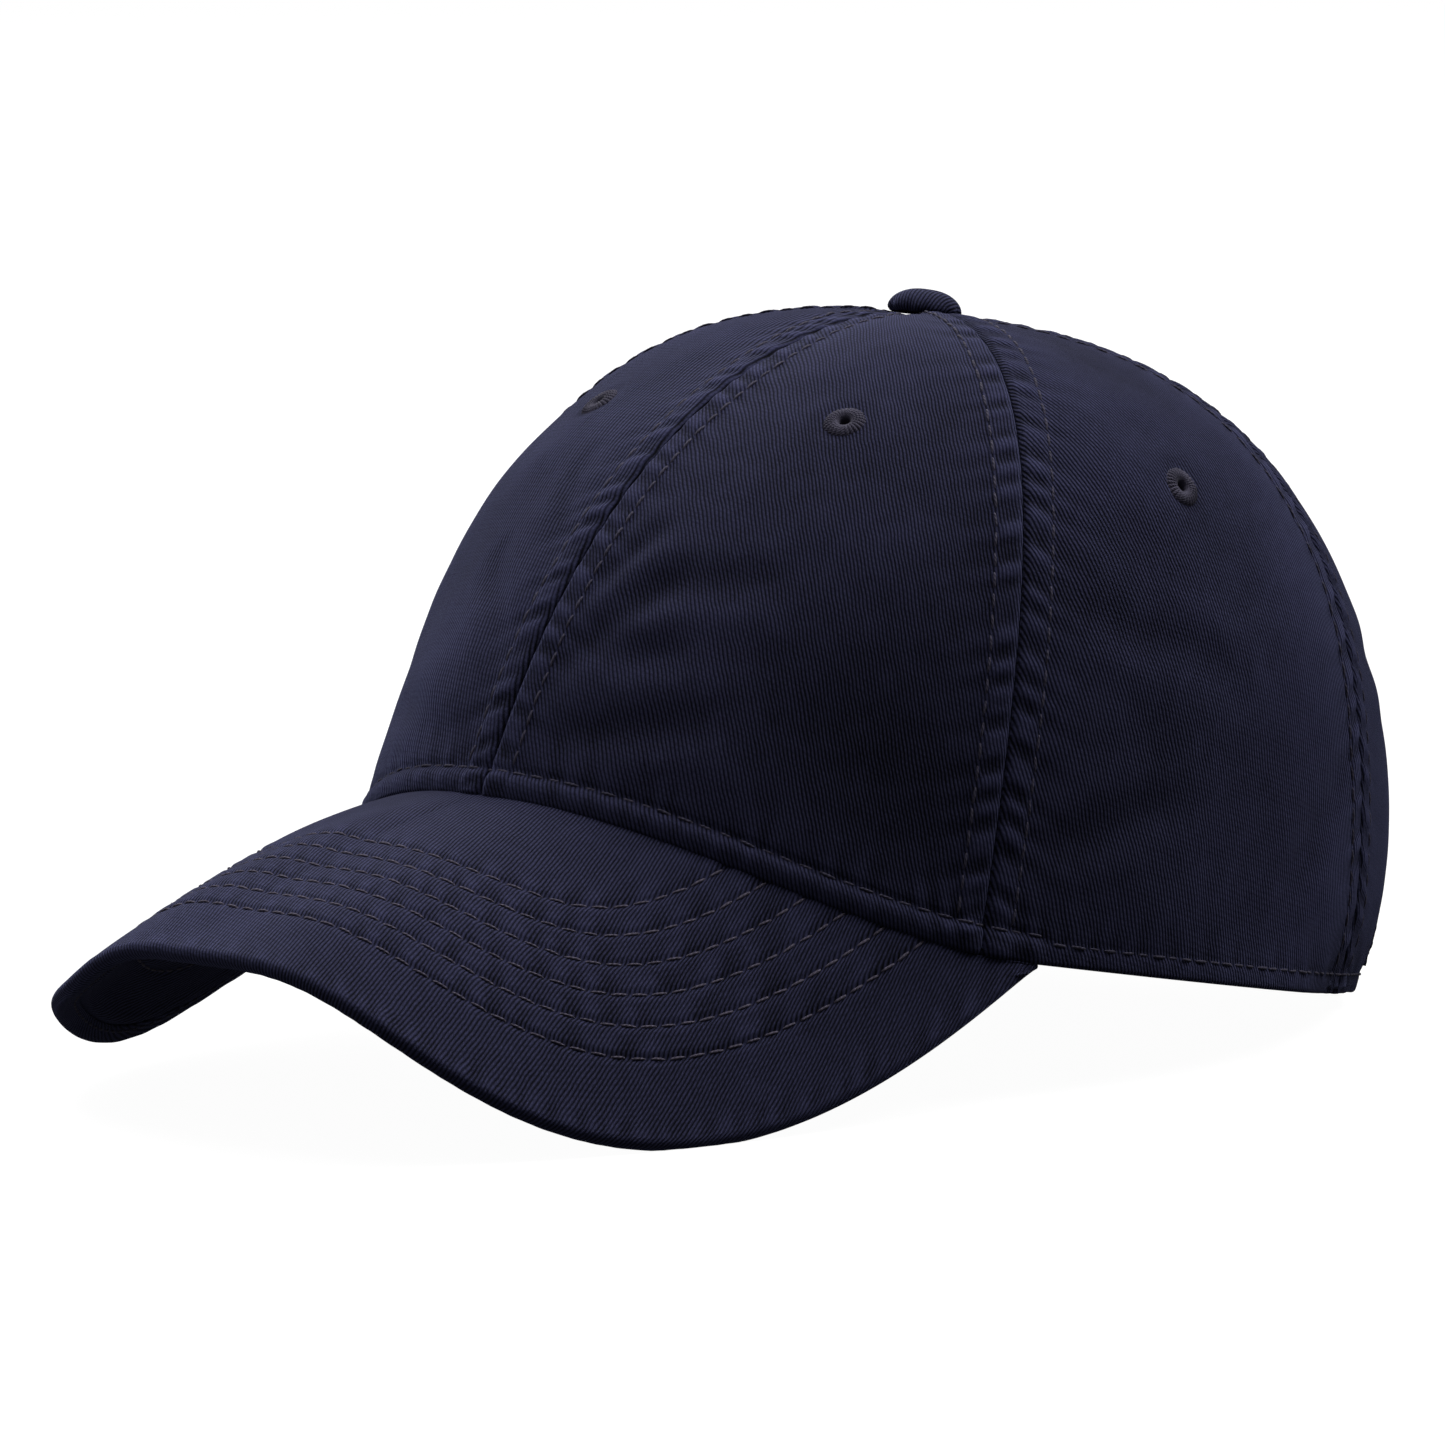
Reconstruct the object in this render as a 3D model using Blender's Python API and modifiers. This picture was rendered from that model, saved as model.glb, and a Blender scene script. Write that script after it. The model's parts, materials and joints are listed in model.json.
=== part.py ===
"""Six-panel cotton baseball cap with a curved brim, standing on a table on its brim and back hem.

The cap is modelled in its own frame: the hem of the sides and back lies in the plane z = 0, the brim
points to -Y and the wearer's left is +X. An empty then tips it forward until the two low points of
the brim and the back hem stand on z = 0.
"""

import math

import bmesh
import bpy
import numpy as np
from mathutils import Matrix, Vector

# Crown, in metres and degrees
HALF_WIDTH = 0.0793
FRONT_LENGTH = 0.1011
BACK_LENGTH = 0.1057
PLAN_SHIFT = 0.0073
CROWN_HEIGHT = 0.1123
TOP_SHIFT = 0.0042
START_ANGLE = (19.2, 3.6, -18.4)
ROUNDNESS = (1.18, 0.76, 0.87)
UPRIGHTNESS = (0.71, 0.50, 1.28)
FRONT_RISE = 0.0166
BRIM_ANGLE = 70.5
SIDE_SEAM = (63.5, 63.4)
REAR_SEAM = (123.9, 108.0)
PANEL_THICK = 0.0010
SEAM_GAP = 0.0004
TOP_HOLE = 0.0024
EYELETS = {"front": (36.2, 0.60), "side": (86.5, 0.625), "back": (147.0, 0.62)}

# Layers inside the crown
TAPE_DEPTH = 0.0017
TAPE_THICK = 0.0005
TAPE_HALF = 0.009
BAND_HEIGHT = 0.032
BAND_THICK = 0.0008
BAND_DEPTH = (0.0026, 0.0050)
BAND_END = 151.0
GAP = 0.0003

# Brim
BRIM_HALF = 0.0763
BRIM_REACH = 0.1568
BRIM_DROP = 0.0175
BRIM_POWERS = (3.58, 0.893)
BRIM_ARCH = 0.0516
BRIM_BULGE = 0.0024
BRIM_FAN = 1.54
# Hand-curled brim: its right side is flatter and fuller. Rise in metres, place and width round the edge.
BRIM_CURL = ((0.0113, -0.726, 0.168), (-0.0060, -0.278, 0.1225), (0.0030, 0.024, 0.61))
BRIM_RIGHT = (0.14, 0.0014, 0.0035)
BRIM_THICK = 0.0032
COVER_THICK = 0.0005
BRIM_GAP = 0.0006
BRIM_END = 0.93
LIP = 0.0030

# Back opening and its strap closure
ARCH_HALF = 0.036
ARCH_HEIGHT = 0.046
ARCH_LEG = 0.012
STRAP_RADIUS = 0.0625
STRAP_CENTRE = 0.0470
STRAP_THICK = 0.0010
STRAP_Z = (0.0045, 0.0205)
STRAP_SPAN = (-55.0, 47.0)
BUCKLE_ANGLE = 19.0
PIN_RADIUS = 0.0006
BAR_X = 0.0285

CAP = bpy.data.collections.new("baseball_cap")
CUTTERS = bpy.data.collections.new("cutters")


def start_clean():
    """Empties the scene and links the two collections."""
    for obj in list(bpy.data.objects):
        bpy.data.objects.remove(obj, do_unlink=True)
    bpy.context.scene.collection.children.link(CAP)
    bpy.context.scene.collection.children.link(CUTTERS)


def material(name, colour, roughness, metallic=0.0):
    """A Principled material."""
    made = bpy.data.materials.new(name)
    made.use_nodes = True
    shader = made.node_tree.nodes["Principled BSDF"]
    shader.inputs["Base Color"].default_value = (*colour, 1.0)
    shader.inputs["Roughness"].default_value = roughness
    shader.inputs["Metallic"].default_value = metallic
    return made


def around(theta, front, side, back):
    """A value that goes from front to side to back with the square of the cosine."""
    c = np.cos(theta)
    return side + (np.where(c > 0, front, back) - side) * c * c


def hem_plan(theta):
    """Plan of the crown at the hem: two half ovals that share their width."""
    length = np.where(np.cos(theta) > 0, FRONT_LENGTH, BACK_LENGTH)
    return HALF_WIDTH * np.sin(theta), PLAN_SHIFT - length * np.cos(theta)


def hem_rise(theta):
    """Height of the crown's lower edge, which the curved brim lifts at the front."""
    part = np.minimum(np.abs(theta) / math.radians(BRIM_ANGLE), 1.0)
    return FRONT_RISE * (0.5 + 0.5 * np.cos(math.pi * part**1.2))


def meridian(theta, height):
    """Angle up the crown's side at a height, with its start angle."""
    start = np.radians(around(theta, *START_ANGLE))
    share = np.clip(height / CROWN_HEIGHT, 0, 1) ** (1 / around(theta, *UPRIGHTNESS))
    return np.arcsin(np.sin(start) + (1 - np.sin(start)) * share), start


def fraction(theta, height):
    """Share of the way from the hem to the top button at a height."""
    power = around(theta, *UPRIGHTNESS)
    angle, start = meridian(theta, height)
    low, _ = meridian(theta, hem_rise(theta))
    share = (np.maximum(angle - start, 0) / (math.pi / 2 - start)) ** power
    low_share = (np.maximum(low - start, 0) / (math.pi / 2 - start)) ** power
    return (share - low_share) / (1 - low_share)


def crown(theta, up):
    """Outer surface: an oval plan scaled by cos(angle)**roundness at height sin(angle)**uprightness."""
    theta = np.asarray(theta, float)
    power = around(theta, *UPRIGHTNESS)
    low, start = meridian(theta, hem_rise(theta))
    low_share = (np.maximum(low - start, 0) / (math.pi / 2 - start)) ** power
    share = (low_share + (1 - low_share) * np.clip(up, 0, 1)) ** (1 / power)
    angle = start + (math.pi / 2 - start) * share
    scale = np.maximum(np.cos(angle) / np.cos(start), 0) ** around(theta, *ROUNDNESS)
    rise = np.maximum((np.sin(angle) - np.sin(start)) / (1 - np.sin(start)), 0) ** power
    x, y = hem_plan(theta)
    return np.stack([x * scale, TOP_SHIFT * rise + y * scale, CROWN_HEIGHT * rise], -1)


def unit(vectors):
    """The vectors at length one."""
    return vectors / np.linalg.norm(vectors, axis=-1, keepdims=True)


def layer(theta, up, depth):
    """A point at a depth inside the crown's outer surface, along its normal."""
    theta, up = np.broadcast_arrays(np.asarray(theta, float), np.asarray(up, float))
    step = 1e-4
    across = crown(theta + step, up) - crown(theta - step, up)
    low, high = np.maximum(up - step, 0), np.minimum(up + step, 1)
    along = crown(theta, high) - crown(theta, low)
    return crown(theta, up) - unit(np.cross(across, along)) * depth


def up_at_radius(theta, radius):
    """Share of the way up where the crown is this far from the middle of the button."""
    low, high = np.full_like(theta, 0.3), np.ones_like(theta)
    for _ in range(30):
        middle = (low + high) / 2
        point = crown(theta, middle) - np.array([0, TOP_SHIFT, 0])
        outside = np.hypot(point[..., 0], point[..., 1]) > radius
        low, high = np.where(outside, middle, low), np.where(outside, high, middle)
    return low


def seam_angle(seam, up):
    """Angle of a seam at a share of the way up."""
    return np.radians(seam[0] + (seam[1] - seam[0]) * up)


def grid_object(name, rule, across, along, slot, thickness):
    """An open grid bent to a rule of two parameters from 0 to 1, made solid inward of its normals."""
    cage = bmesh.new()
    bmesh.ops.create_grid(cage, x_segments=across, y_segments=along, size=1)
    flat = np.array([v.co[:2] for v in cage.verts]) / 2 + 0.5
    for vert, place in zip(cage.verts, rule(flat[:, 0], flat[:, 1])):
        vert.co = place
    mesh = bpy.data.meshes.new(name)
    cage.to_mesh(mesh)
    cage.free()
    obj = add(name, mesh, slot)
    solid = obj.modifiers.new("thickness", "SOLIDIFY")
    solid.thickness = thickness
    solid.offset = -1
    solid.use_even_offset = True
    return obj


def add(name, mesh, slot):
    """Puts a mesh in the cap as a named, smooth-shaded object."""
    mesh.materials.append(slot)
    mesh.shade_smooth()
    mesh.set_sharp_from_angle(angle=math.radians(35))
    obj = bpy.data.objects.new(name, mesh)
    CAP.objects.link(obj)
    return obj


def frame_at(point, normal, along=(0, 0, 1)):
    """Matrix with Z on the normal and Y as near as it can be to a direction."""
    z = Vector(normal).normalized()
    x = Vector(along).cross(z).normalized()
    return Matrix.Translation(Vector(point)) @ Matrix((x, z.cross(x), z)).transposed().to_4x4()


def turned(name, profile, slot, place, steps, closed=False):
    """A profile of (radius, height) pairs turned about Z with a Screw modifier."""
    cage = bmesh.new()
    verts = [cage.verts.new((r, 0, z)) for r, z in profile]
    pairs = list(zip(verts, verts[1:]))
    if closed:
        pairs.append((verts[-1], verts[0]))
    for pair in pairs:
        cage.edges.new(pair)
    mesh = bpy.data.meshes.new(name)
    cage.to_mesh(mesh)
    cage.free()
    obj = add(name, mesh, slot)
    obj.matrix_local = place
    screw = obj.modifiers.new("turn", "SCREW")
    screw.steps = steps
    screw.render_steps = steps
    screw.use_merge_vertices = True
    screw.merge_threshold = 0.00005
    screw.use_smooth_shade = True
    return obj


def cut(obj, cutter):
    """Takes a cutter's volume out of an object."""
    boolean = obj.modifiers.new("cut " + cutter.name, "BOOLEAN")
    boolean.operation = "DIFFERENCE"
    boolean.solver = "EXACT"
    boolean.object = cutter


def cutter_object(name, mesh, place):
    """A hidden cutter."""
    obj = bpy.data.objects.new(name, mesh)
    obj.matrix_local = place
    obj.hide_render = True
    obj.display_type = "WIRE"
    CUTTERS.objects.link(obj)
    return obj


def rod_mesh(name, radius, length, sides):
    """A capped cylinder about Z, centred on its origin."""
    cage = bmesh.new()
    bmesh.ops.create_cone(cage, cap_ends=True, segments=sides, radius1=radius, radius2=radius, depth=length)
    mesh = bpy.data.meshes.new(name)
    cage.to_mesh(mesh)
    cage.free()
    return mesh


def box_mesh(name, size, centre=(0, 0, 0)):
    """A box of a size about a centre."""
    cage = bmesh.new()
    matrix = Matrix.Translation(Vector(centre)) @ Matrix.Diagonal((*size, 1))
    bmesh.ops.create_cube(cage, size=1, matrix=matrix)
    mesh = bpy.data.meshes.new(name)
    cage.to_mesh(mesh)
    cage.free()
    return mesh


def outline_prism(name, points, half_depth):
    """A flat outline filled and extruded both ways along Z, as a welded mesh."""
    curve = bpy.data.curves.new(name, "CURVE")
    curve.dimensions = "2D"
    curve.fill_mode = "BOTH"
    curve.extrude = half_depth
    spline = curve.splines.new("POLY")
    spline.points.add(len(points) - 1)
    for point, (x, y) in zip(spline.points, points):
        point.co = (x, y, 0, 1)
    spline.use_cyclic_u = True
    holder = bpy.data.objects.new(name, curve)
    bpy.context.scene.collection.objects.link(holder)
    bpy.context.view_layer.update()
    mesh = bpy.data.meshes.new_from_object(holder.evaluated_get(bpy.context.evaluated_depsgraph_get()))
    bpy.data.objects.remove(holder, do_unlink=True)
    cage = bmesh.new()
    cage.from_mesh(mesh)
    bmesh.ops.remove_doubles(cage, verts=cage.verts, dist=1e-6)
    bmesh.ops.recalc_face_normals(cage, faces=cage.faces)
    cage.to_mesh(mesh)
    cage.free()
    return mesh


def arch_outline(grow, steps):
    """The back opening's outline from one foot to the other: straight legs and a half ellipse."""
    turn = np.linspace(0, math.pi, steps)
    x = (ARCH_HALF + grow) * np.cos(turn)
    z = ARCH_LEG + (ARCH_HEIGHT - ARCH_LEG + grow) * np.sin(turn)
    return x, z


def back_point(x, z, depth):
    """The point of the crown's back at an x and a height, at a depth inside it."""
    theta = math.pi - np.arcsin(x / HALF_WIDTH)
    for _ in range(12):
        found = crown(theta, fraction(theta, z))
        theta = math.pi - np.arcsin(np.clip(np.sin(theta) * x / np.where(x == 0, 1, found[..., 0]), -1, 1))
    return layer(theta, fraction(theta, z), depth)


def make_panels(cloth):
    """Six gores that end round the button's shank, with the back opening and an eyelet hole cut."""
    x, z = arch_outline(0, 17)
    outline = [(ARCH_HALF, -0.02), *zip(x, z), (-ARCH_HALF, -0.02)]
    turn_up = Matrix.Translation((0, 0.1, 0)) @ Matrix.Rotation(math.pi / 2, 4, "X")
    arch = cutter_object("opening_cutter", outline_prism("opening_cutter", outline, 0.06), turn_up)
    spans = {
        "front": ((0.0, 0.0), SIDE_SEAM),
        "side": (SIDE_SEAM, REAR_SEAM),
        "back": (REAR_SEAM, (180.0, 180.0)),
    }
    for place, (first, last) in spans.items():
        for side, sign in (("left", 1), ("right", -1)):

            def rule(u, v, first=first, last=last, sign=sign):
                share = u if sign > 0 else 1 - u
                low, high = seam_angle(first, v), seam_angle(last, v)
                middle = low + (high - low) * share
                top = up_at_radius(middle, TOP_HOLE)
                point = crown(middle, v * top)
                radius = np.hypot(point[:, 0], point[:, 1] - TOP_SHIFT)
                inset = SEAM_GAP / 2 / radius
                theta = low + inset + (high - low - 2 * inset) * share
                return crown(sign * theta, v * top)

            panel = grid_object(f"{place}_panel_{side}", rule, 8, 12, cloth, PANEL_THICK)
            if place == "back":
                cut(panel, arch)
            angle, up = EYELETS[place]
            spot = eyelet_place(sign * math.radians(angle), up)
            hole = rod_mesh("eyelet_cutter", 0.0019, 0.008, 10)
            cut(panel, cutter_object(f"{place}_{side}_eyelet_cutter", hole, spot))


def eyelet_place(theta, up):
    """Matrix of an eyelet on the crown, with Z outward."""
    outer = layer(theta, up, 0.0)
    return frame_at(outer, outer - layer(theta, up, 0.001))


def make_eyelets(thread):
    """Stitched rings through the panels, with a bead outside and a flat ring inside."""
    profile = [
        (0.0010, 0.0006),
        (0.0024, 0.0011),
        (0.0038, 0.0003),
        (0.0015, 0.0003),
        (0.0015, -0.0015),
        (0.0030, -0.0015),
        (0.0030, -0.0021),
        (0.0010, -0.0021),
    ]
    for place, (angle, up) in EYELETS.items():
        for side, sign in (("left", 1), ("right", -1)):
            spot = eyelet_place(sign * math.radians(angle), up)
            turned(f"eyelet_{place}_{side}", profile, thread, spot, 10, closed=True)


def make_tapes(tape):
    """Bias tape over the inside of each seam, narrowing where the six meet under the button."""
    seams = {
        "seam_tape_front": (1, (0.0, 0.0), 0.001),
        "seam_tape_left_side": (1, SIDE_SEAM, 0.001),
        "seam_tape_right_side": (-1, SIDE_SEAM, 0.001),
        "seam_tape_left_rear": (1, REAR_SEAM, 0.001),
        "seam_tape_right_rear": (-1, REAR_SEAM, 0.001),
        "seam_tape_back": (1, (180.0, 180.0), ARCH_HEIGHT + 0.0065),
    }
    for name, (sign, seam, start) in seams.items():

        def rule(u, v, sign=sign, seam=seam, start=start):
            foot = np.radians(np.full_like(v, seam[0]))
            low = fraction(foot, hem_rise(foot) + start)
            top = up_at_radius(seam_angle(seam, np.ones_like(v)), 0.0100)
            up = low + (top - low) * v
            theta = sign * seam_angle(seam, up)
            point = crown(theta, up)
            radius = np.hypot(point[:, 0], point[:, 1] - TOP_SHIFT)
            speed = np.linalg.norm(crown(theta + 5e-4, up) - crown(theta - 5e-4, up), axis=-1) * 1e3
            half = np.minimum(TAPE_HALF, radius * 0.45)
            return layer(theta + (2 * u - 1) * half / speed, up, TAPE_DEPTH)

        grid_object(name, rule, 2, 12, tape, TAPE_THICK)


def band_point(theta, height, extra):
    """A point of the sweatband: the crown's plan at that height, but never wider than at the hem."""
    z = hem_rise(theta) + height
    angle, start = meridian(theta, z)
    scale = np.minimum((np.cos(angle) / np.cos(start)) ** around(theta, *ROUNDNESS), 1)
    x, y = hem_plan(theta)
    step = 1e-4
    ahead, behind = hem_plan(theta + step), hem_plan(theta - step)
    outward = unit(np.stack([ahead[1] - behind[1], behind[0] - ahead[0], 0 * x], -1))
    share = np.clip((np.degrees(np.abs(theta)) - 112) / 18, 0, 1)
    smooth = share * share * (3 - 2 * share)
    depth = BAND_DEPTH[0] + (BAND_DEPTH[1] - BAND_DEPTH[0]) * smooth + extra
    point = np.stack([x * scale, TOP_SHIFT * z / CROWN_HEIGHT + y * scale, z], -1)
    return point - outward * depth[..., None]


def make_sweatband(cotton, foam):
    """The folded cotton band round the head and the thin pad behind it, open at the back."""
    end = math.radians(BAND_END)

    def cover(u, v):
        return band_point(end * (2 * u - 1), 0.0005 + BAND_HEIGHT * v, BAND_THICK + GAP)

    def pad(u, v):
        return band_point(end * (2 * u - 1), 0.002 + (BAND_HEIGHT - 0.003) * v, 0.0)

    grid_object("sweatband", cover, 36, 2, cotton, BAND_THICK)
    grid_object("sweatband_pad", pad, 36, 2, foam, BAND_THICK)


def right_bow(u):
    """How far a share of the brim's edge is into its right side: 0 at the middle and the corner."""
    return np.sin(math.pi * np.clip(-u, 0, 1))


def brim_edge(u):
    """Outer edge of the brim's top face, seen from above a rounded half oval, with its sides low."""
    turn = np.abs(u) * math.pi / 2
    corner = crown(np.radians(BRIM_ANGLE), 0.0)
    wide = np.sin(turn)
    reach = np.clip(1 - wide ** BRIM_POWERS[0], 0, 1) ** BRIM_POWERS[1]
    tie = np.abs(u) ** 6
    x = np.sign(u) * (BRIM_HALF * wide * (1 - tie) + corner[0] * tie)
    y = corner[1] - (BRIM_REACH + corner[1]) * reach
    dip = np.sin(2 * turn) ** 2
    bow = right_bow(u)
    rise = sum(most * np.exp(-(((u - place) / width) ** 2)) for most, place, width in BRIM_CURL)
    z = rise * (1 - np.abs(u) ** 10) - BRIM_DROP * reach - dip * (BRIM_ARCH * wide**2 - 0.0025)
    return np.stack([x * (1 + BRIM_RIGHT[0] * bow), y + BRIM_RIGHT[1] * bow, z], -1)


def brim_root(u):
    """Where the brim's top face meets the crown."""
    theta = np.sign(u) * np.abs(u) ** BRIM_FAN * math.radians(BRIM_ANGLE)
    return crown(theta, 0.0 * theta)


def brim_top(u, v, inset=0.0):
    """Top face of the brim: straight rulings from crown to edge, lifted a little at their middle."""
    u, v = np.broadcast_arrays(np.asarray(u, float), np.asarray(v, float))
    root, edge = brim_root(u), brim_edge(u)
    length = np.linalg.norm(edge - root, axis=-1, keepdims=True)
    if inset:
        edge = edge - brim_outward(u) * inset
    point = root + (edge - root) * v[..., None]
    full = BRIM_BULGE + BRIM_RIGHT[2] * right_bow(u)
    lift = full * 4 * v * (1 - v) * np.clip(length[..., 0] / 0.07, 0, 1)
    return point + np.stack([0 * v, 0 * v, lift], -1)


def brim_normal(u, v):
    """Upward normal of the brim's top face."""
    u, v = np.broadcast_arrays(np.asarray(u, float), np.asarray(v, float))
    step = 1e-3
    across = brim_top(u + step, v) - brim_top(u - step, v)
    along = brim_top(u, np.minimum(v + step, 1)) - brim_top(u, np.maximum(v - step, 0))
    return unit(np.cross(along, across))


def brim_outward(u):
    """Direction in the brim's face square to its outer edge."""
    step = 1e-3
    ahead = brim_edge(u + step) - brim_edge(u - step)
    return unit(np.cross(brim_normal(u, np.full_like(u, 0.98)), -ahead))


def brim_start(u):
    """Share of a ruling where the brim begins, clear of the crown."""
    length = np.linalg.norm(brim_edge(u) - brim_root(u), axis=-1)
    return (0.0005 + 0.0020 * np.abs(u) ** 3) / length


def make_brim(cloth, board):
    """Stiff board between a top cover that wraps round its edge and a bottom cover."""
    rim = BRIM_THICK / 2

    def top_cover(u, v):
        u = (1 - 2 * u) * BRIM_END
        skin, bend = 0.5, 11 / 12
        flat = np.clip(v / skin, 0, 1)
        first = brim_start(u)
        point = brim_top(u, first + (1 - first) * flat, rim)
        normal, outward = brim_normal(u, np.clip(flat, 0, 0.98)), brim_outward(u)
        turn = np.clip((v - skin) / (bend - skin), 0, 1)[:, None] * math.pi
        back = np.clip((v - bend) / (1 - bend), 0, 1)[:, None] * LIP
        return point + rim * (np.sin(turn) * outward - (1 - np.cos(turn)) * normal) - back * outward

    def under(inset, depth):
        def rule(u, v):
            u = (2 * u - 1) * BRIM_END
            first = brim_start(u)
            share = first + (1 - first) * v
            return brim_top(u, share, inset) - brim_normal(u, np.minimum(share, 0.98)) * depth

        return rule

    grid_object("brim_top_cover", top_cover, 28, 12, cloth, COVER_THICK)
    core = BRIM_THICK - 2 * COVER_THICK - 2 * BRIM_GAP
    lower = BRIM_THICK - COVER_THICK - BRIM_GAP
    grid_object("brim_board", under(0.0015, lower), 28, 6, board, core)
    skirt = under(rim + LIP + GAP, BRIM_THICK)
    grid_object("brim_bottom_cover", skirt, 28, 6, cloth, COVER_THICK)


def make_button(cloth, metal):
    """Cloth-covered top button: cover, pressed metal shell, and the backing plate with its shank."""
    apex = Matrix.Translation((0, TOP_SHIFT, CROWN_HEIGHT))
    cover = [
        (0.0, 0.0046),
        (0.0028, 0.0043),
        (0.0050, 0.0035),
        (0.0063, 0.0022),
        (0.0067, 0.0011),
        (0.0062, 0.0004),
        (0.0050, 0.0004),
        (0.0050, 0.0010),
        (0.0058, 0.0012),
        (0.0057, 0.0019),
        (0.0046, 0.0030),
        (0.0026, 0.0037),
        (0.0, 0.0040),
    ]
    shell = [
        (0.0, 0.0036),
        (0.0024, 0.0033),
        (0.0042, 0.0027),
        (0.0052, 0.0018),
        (0.0052, 0.0014),
        (0.0046, 0.0014),
        (0.0045, 0.0018),
        (0.0038, 0.0022),
        (0.0022, 0.0028),
        (0.0, 0.0031),
    ]
    plate = [
        (0.0, 0.0026),
        (0.0010, 0.0026),
        (0.0010, -0.0017),
        (0.0060, -0.0017),
        (0.0060, -0.0025),
        (0.0, -0.0025),
    ]
    turned("top_button_cover", cover, cloth, apex, 16)
    turned("top_button_shell", shell, metal, apex, 16)
    turned("top_button_backing", plate, metal, apex, 16)


def arc_place(angle, depth, z):
    """Matrix on the strap's arc: X runs along it to the wearer's left, Y points in, Z up."""
    a = math.radians(angle)
    outward = Vector((math.sin(a), math.cos(a), 0))
    along = Vector((math.cos(a), -math.sin(a), 0))
    spot = Vector((0, STRAP_CENTRE, z)) + outward * (STRAP_RADIUS - depth)
    return Matrix.Translation(spot) @ Matrix((along, -outward, (0, 0, 1))).transposed().to_4x4()


def make_closure(cloth, metal, tape):
    """Strap, its cam buckle held by a cloth loop, and the tape round the opening."""
    low, high = STRAP_Z
    middle = (low + high) / 2
    height = high - low

    def strap(u, v):
        turn = np.radians(STRAP_SPAN[1] + (STRAP_SPAN[0] - STRAP_SPAN[1]) * u)
        x, y = STRAP_RADIUS * np.sin(turn), STRAP_RADIUS * np.cos(turn)
        return np.stack([x, y, low + height * v], -1)

    band = grid_object("closure_strap", strap, 20, 1, cloth, STRAP_THICK)
    band.location = (0, STRAP_CENTRE, 0)

    def binding(u, v):
        turn = math.pi - math.radians(14) - (math.pi - 2 * math.radians(14)) * u
        x = (ARCH_HALF + 0.0005 + 0.0050 * (1 - v)) * np.cos(turn)
        z = ARCH_LEG + (ARCH_HEIGHT - ARCH_LEG + 0.0005 + 0.0050 * (1 - v)) * np.sin(turn)
        return back_point(x, z, TAPE_DEPTH + 0.0003)

    grid_object("back_opening_binding", binding, 18, 2, tape, TAPE_THICK)
    make_loop(cloth, low + 0.0008, high - 0.0008)
    make_buckle(metal, middle, height)


def make_loop(cloth, low, high):
    """Cloth loop that grips the left panel's edge and goes round the buckle's bar."""
    spot = arc_place(bar_angle(), bar_depth(), 0)
    centre, along, inward = (np.array(spot.col[i][:3]) for i in (3, 0, 1))
    out, deep, reach = 0.0011, 0.0024, 0.047
    half = (out + deep) / 2

    def rule(u, v):
        z = low + (high - low) * v
        turn = np.clip((u - 0.35) / 0.3, 0, 1) * math.pi
        wrap = -np.sin(turn)[:, None] * along - np.cos(turn)[:, None] * inward
        nose = centre + half * wrap + np.stack([0 * z, 0 * z, z], -1)
        leg = np.clip(np.abs(u - 0.5) / 0.15 - 1, 0, 7 / 3) * 3 / 7
        x = nose[:, 0] + (reach - nose[:, 0]) * leg
        skin = back_point(np.maximum(x, 0.02), z, np.where(u < 0.5, -out, deep)[:, None])
        mix = np.clip((leg - 0.09) / 0.2, 0, 1)
        mix = (mix * mix * (3 - 2 * mix))[:, None]
        straight = nose + along * ((x - nose[:, 0]) / along[0])[:, None]
        return straight + (skin - straight) * mix

    grid_object("buckle_loop", rule, 20, 3, cloth, COVER_THICK)


def bar_angle():
    """Angle of the buckle's bar on the strap's arc."""
    return math.degrees(math.asin(BAR_X / STRAP_RADIUS))


def bar_depth():
    """Depth of the bar's middle, level with the middle of the panel's edge."""
    return -0.0027


def make_buckle(metal, middle, height):
    """Cam buckle: plate behind the strap, two cheeks with a bar and a pin, and the lever on the pin."""
    span = height + 0.0010
    cheek_z = span / 2 + 0.0005
    base = arc_place(BUCKLE_ANGLE, 0, middle)
    place = base.inverted() @ arc_place(bar_angle(), bar_depth(), middle)
    bar = place.translation
    back = STRAP_THICK + 0.0008
    pieces = [box_mesh("plate", (0.0120, 0.0008, 2 * cheek_z), (0, back + 0.0004, 0))]
    for sign in (-1, 1):
        outline = [
            (-0.0060, back),
            (-0.0060, -0.0028),
            (-0.0030, -0.0028),
            (bar.x - 0.0008, bar.y - 0.0006),
            (bar.x + 0.0011, bar.y - 0.0006),
            (bar.x + 0.0011, bar.y + 0.0006),
            (0.0058, back + 0.0004),
        ]
        cheek = outline_prism("cheek", outline, 0.0005)
        cheek.transform(Matrix.Translation((0, 0, sign * cheek_z)))
        pieces.append(cheek)
    pieces.append(box_mesh("bar", (0.0018, 0.0010, 2 * cheek_z), bar))
    frame = join_union("buckle_frame", pieces, metal)
    frame.matrix_local = base
    pivot = base @ Matrix.Translation((-0.0042, -0.0016, 0))
    hole = cutter_object("pin_hole", rod_mesh("pin_hole", PIN_RADIUS + GAP, 0.05, 12), pivot)
    cut(frame, hole)
    pin = add("buckle_pin", rod_mesh("buckle_pin", PIN_RADIUS, 2 * cheek_z + 0.0016, 12), metal)
    pin.matrix_local = pivot
    width = span - 0.0012
    barrel = rod_mesh("barrel", 0.0013, width, 12)
    flap = box_mesh("flap", (0.0105, 0.0008, width), (0.0056, -0.0006, 0))
    lever = join_union("buckle_lever", [barrel, flap], metal)
    lever.matrix_local = pivot
    bore = rod_mesh("lever_bore", PIN_RADIUS + GAP, 0.05, 12)
    cut(lever, cutter_object("lever_bore", bore, pivot))


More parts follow.
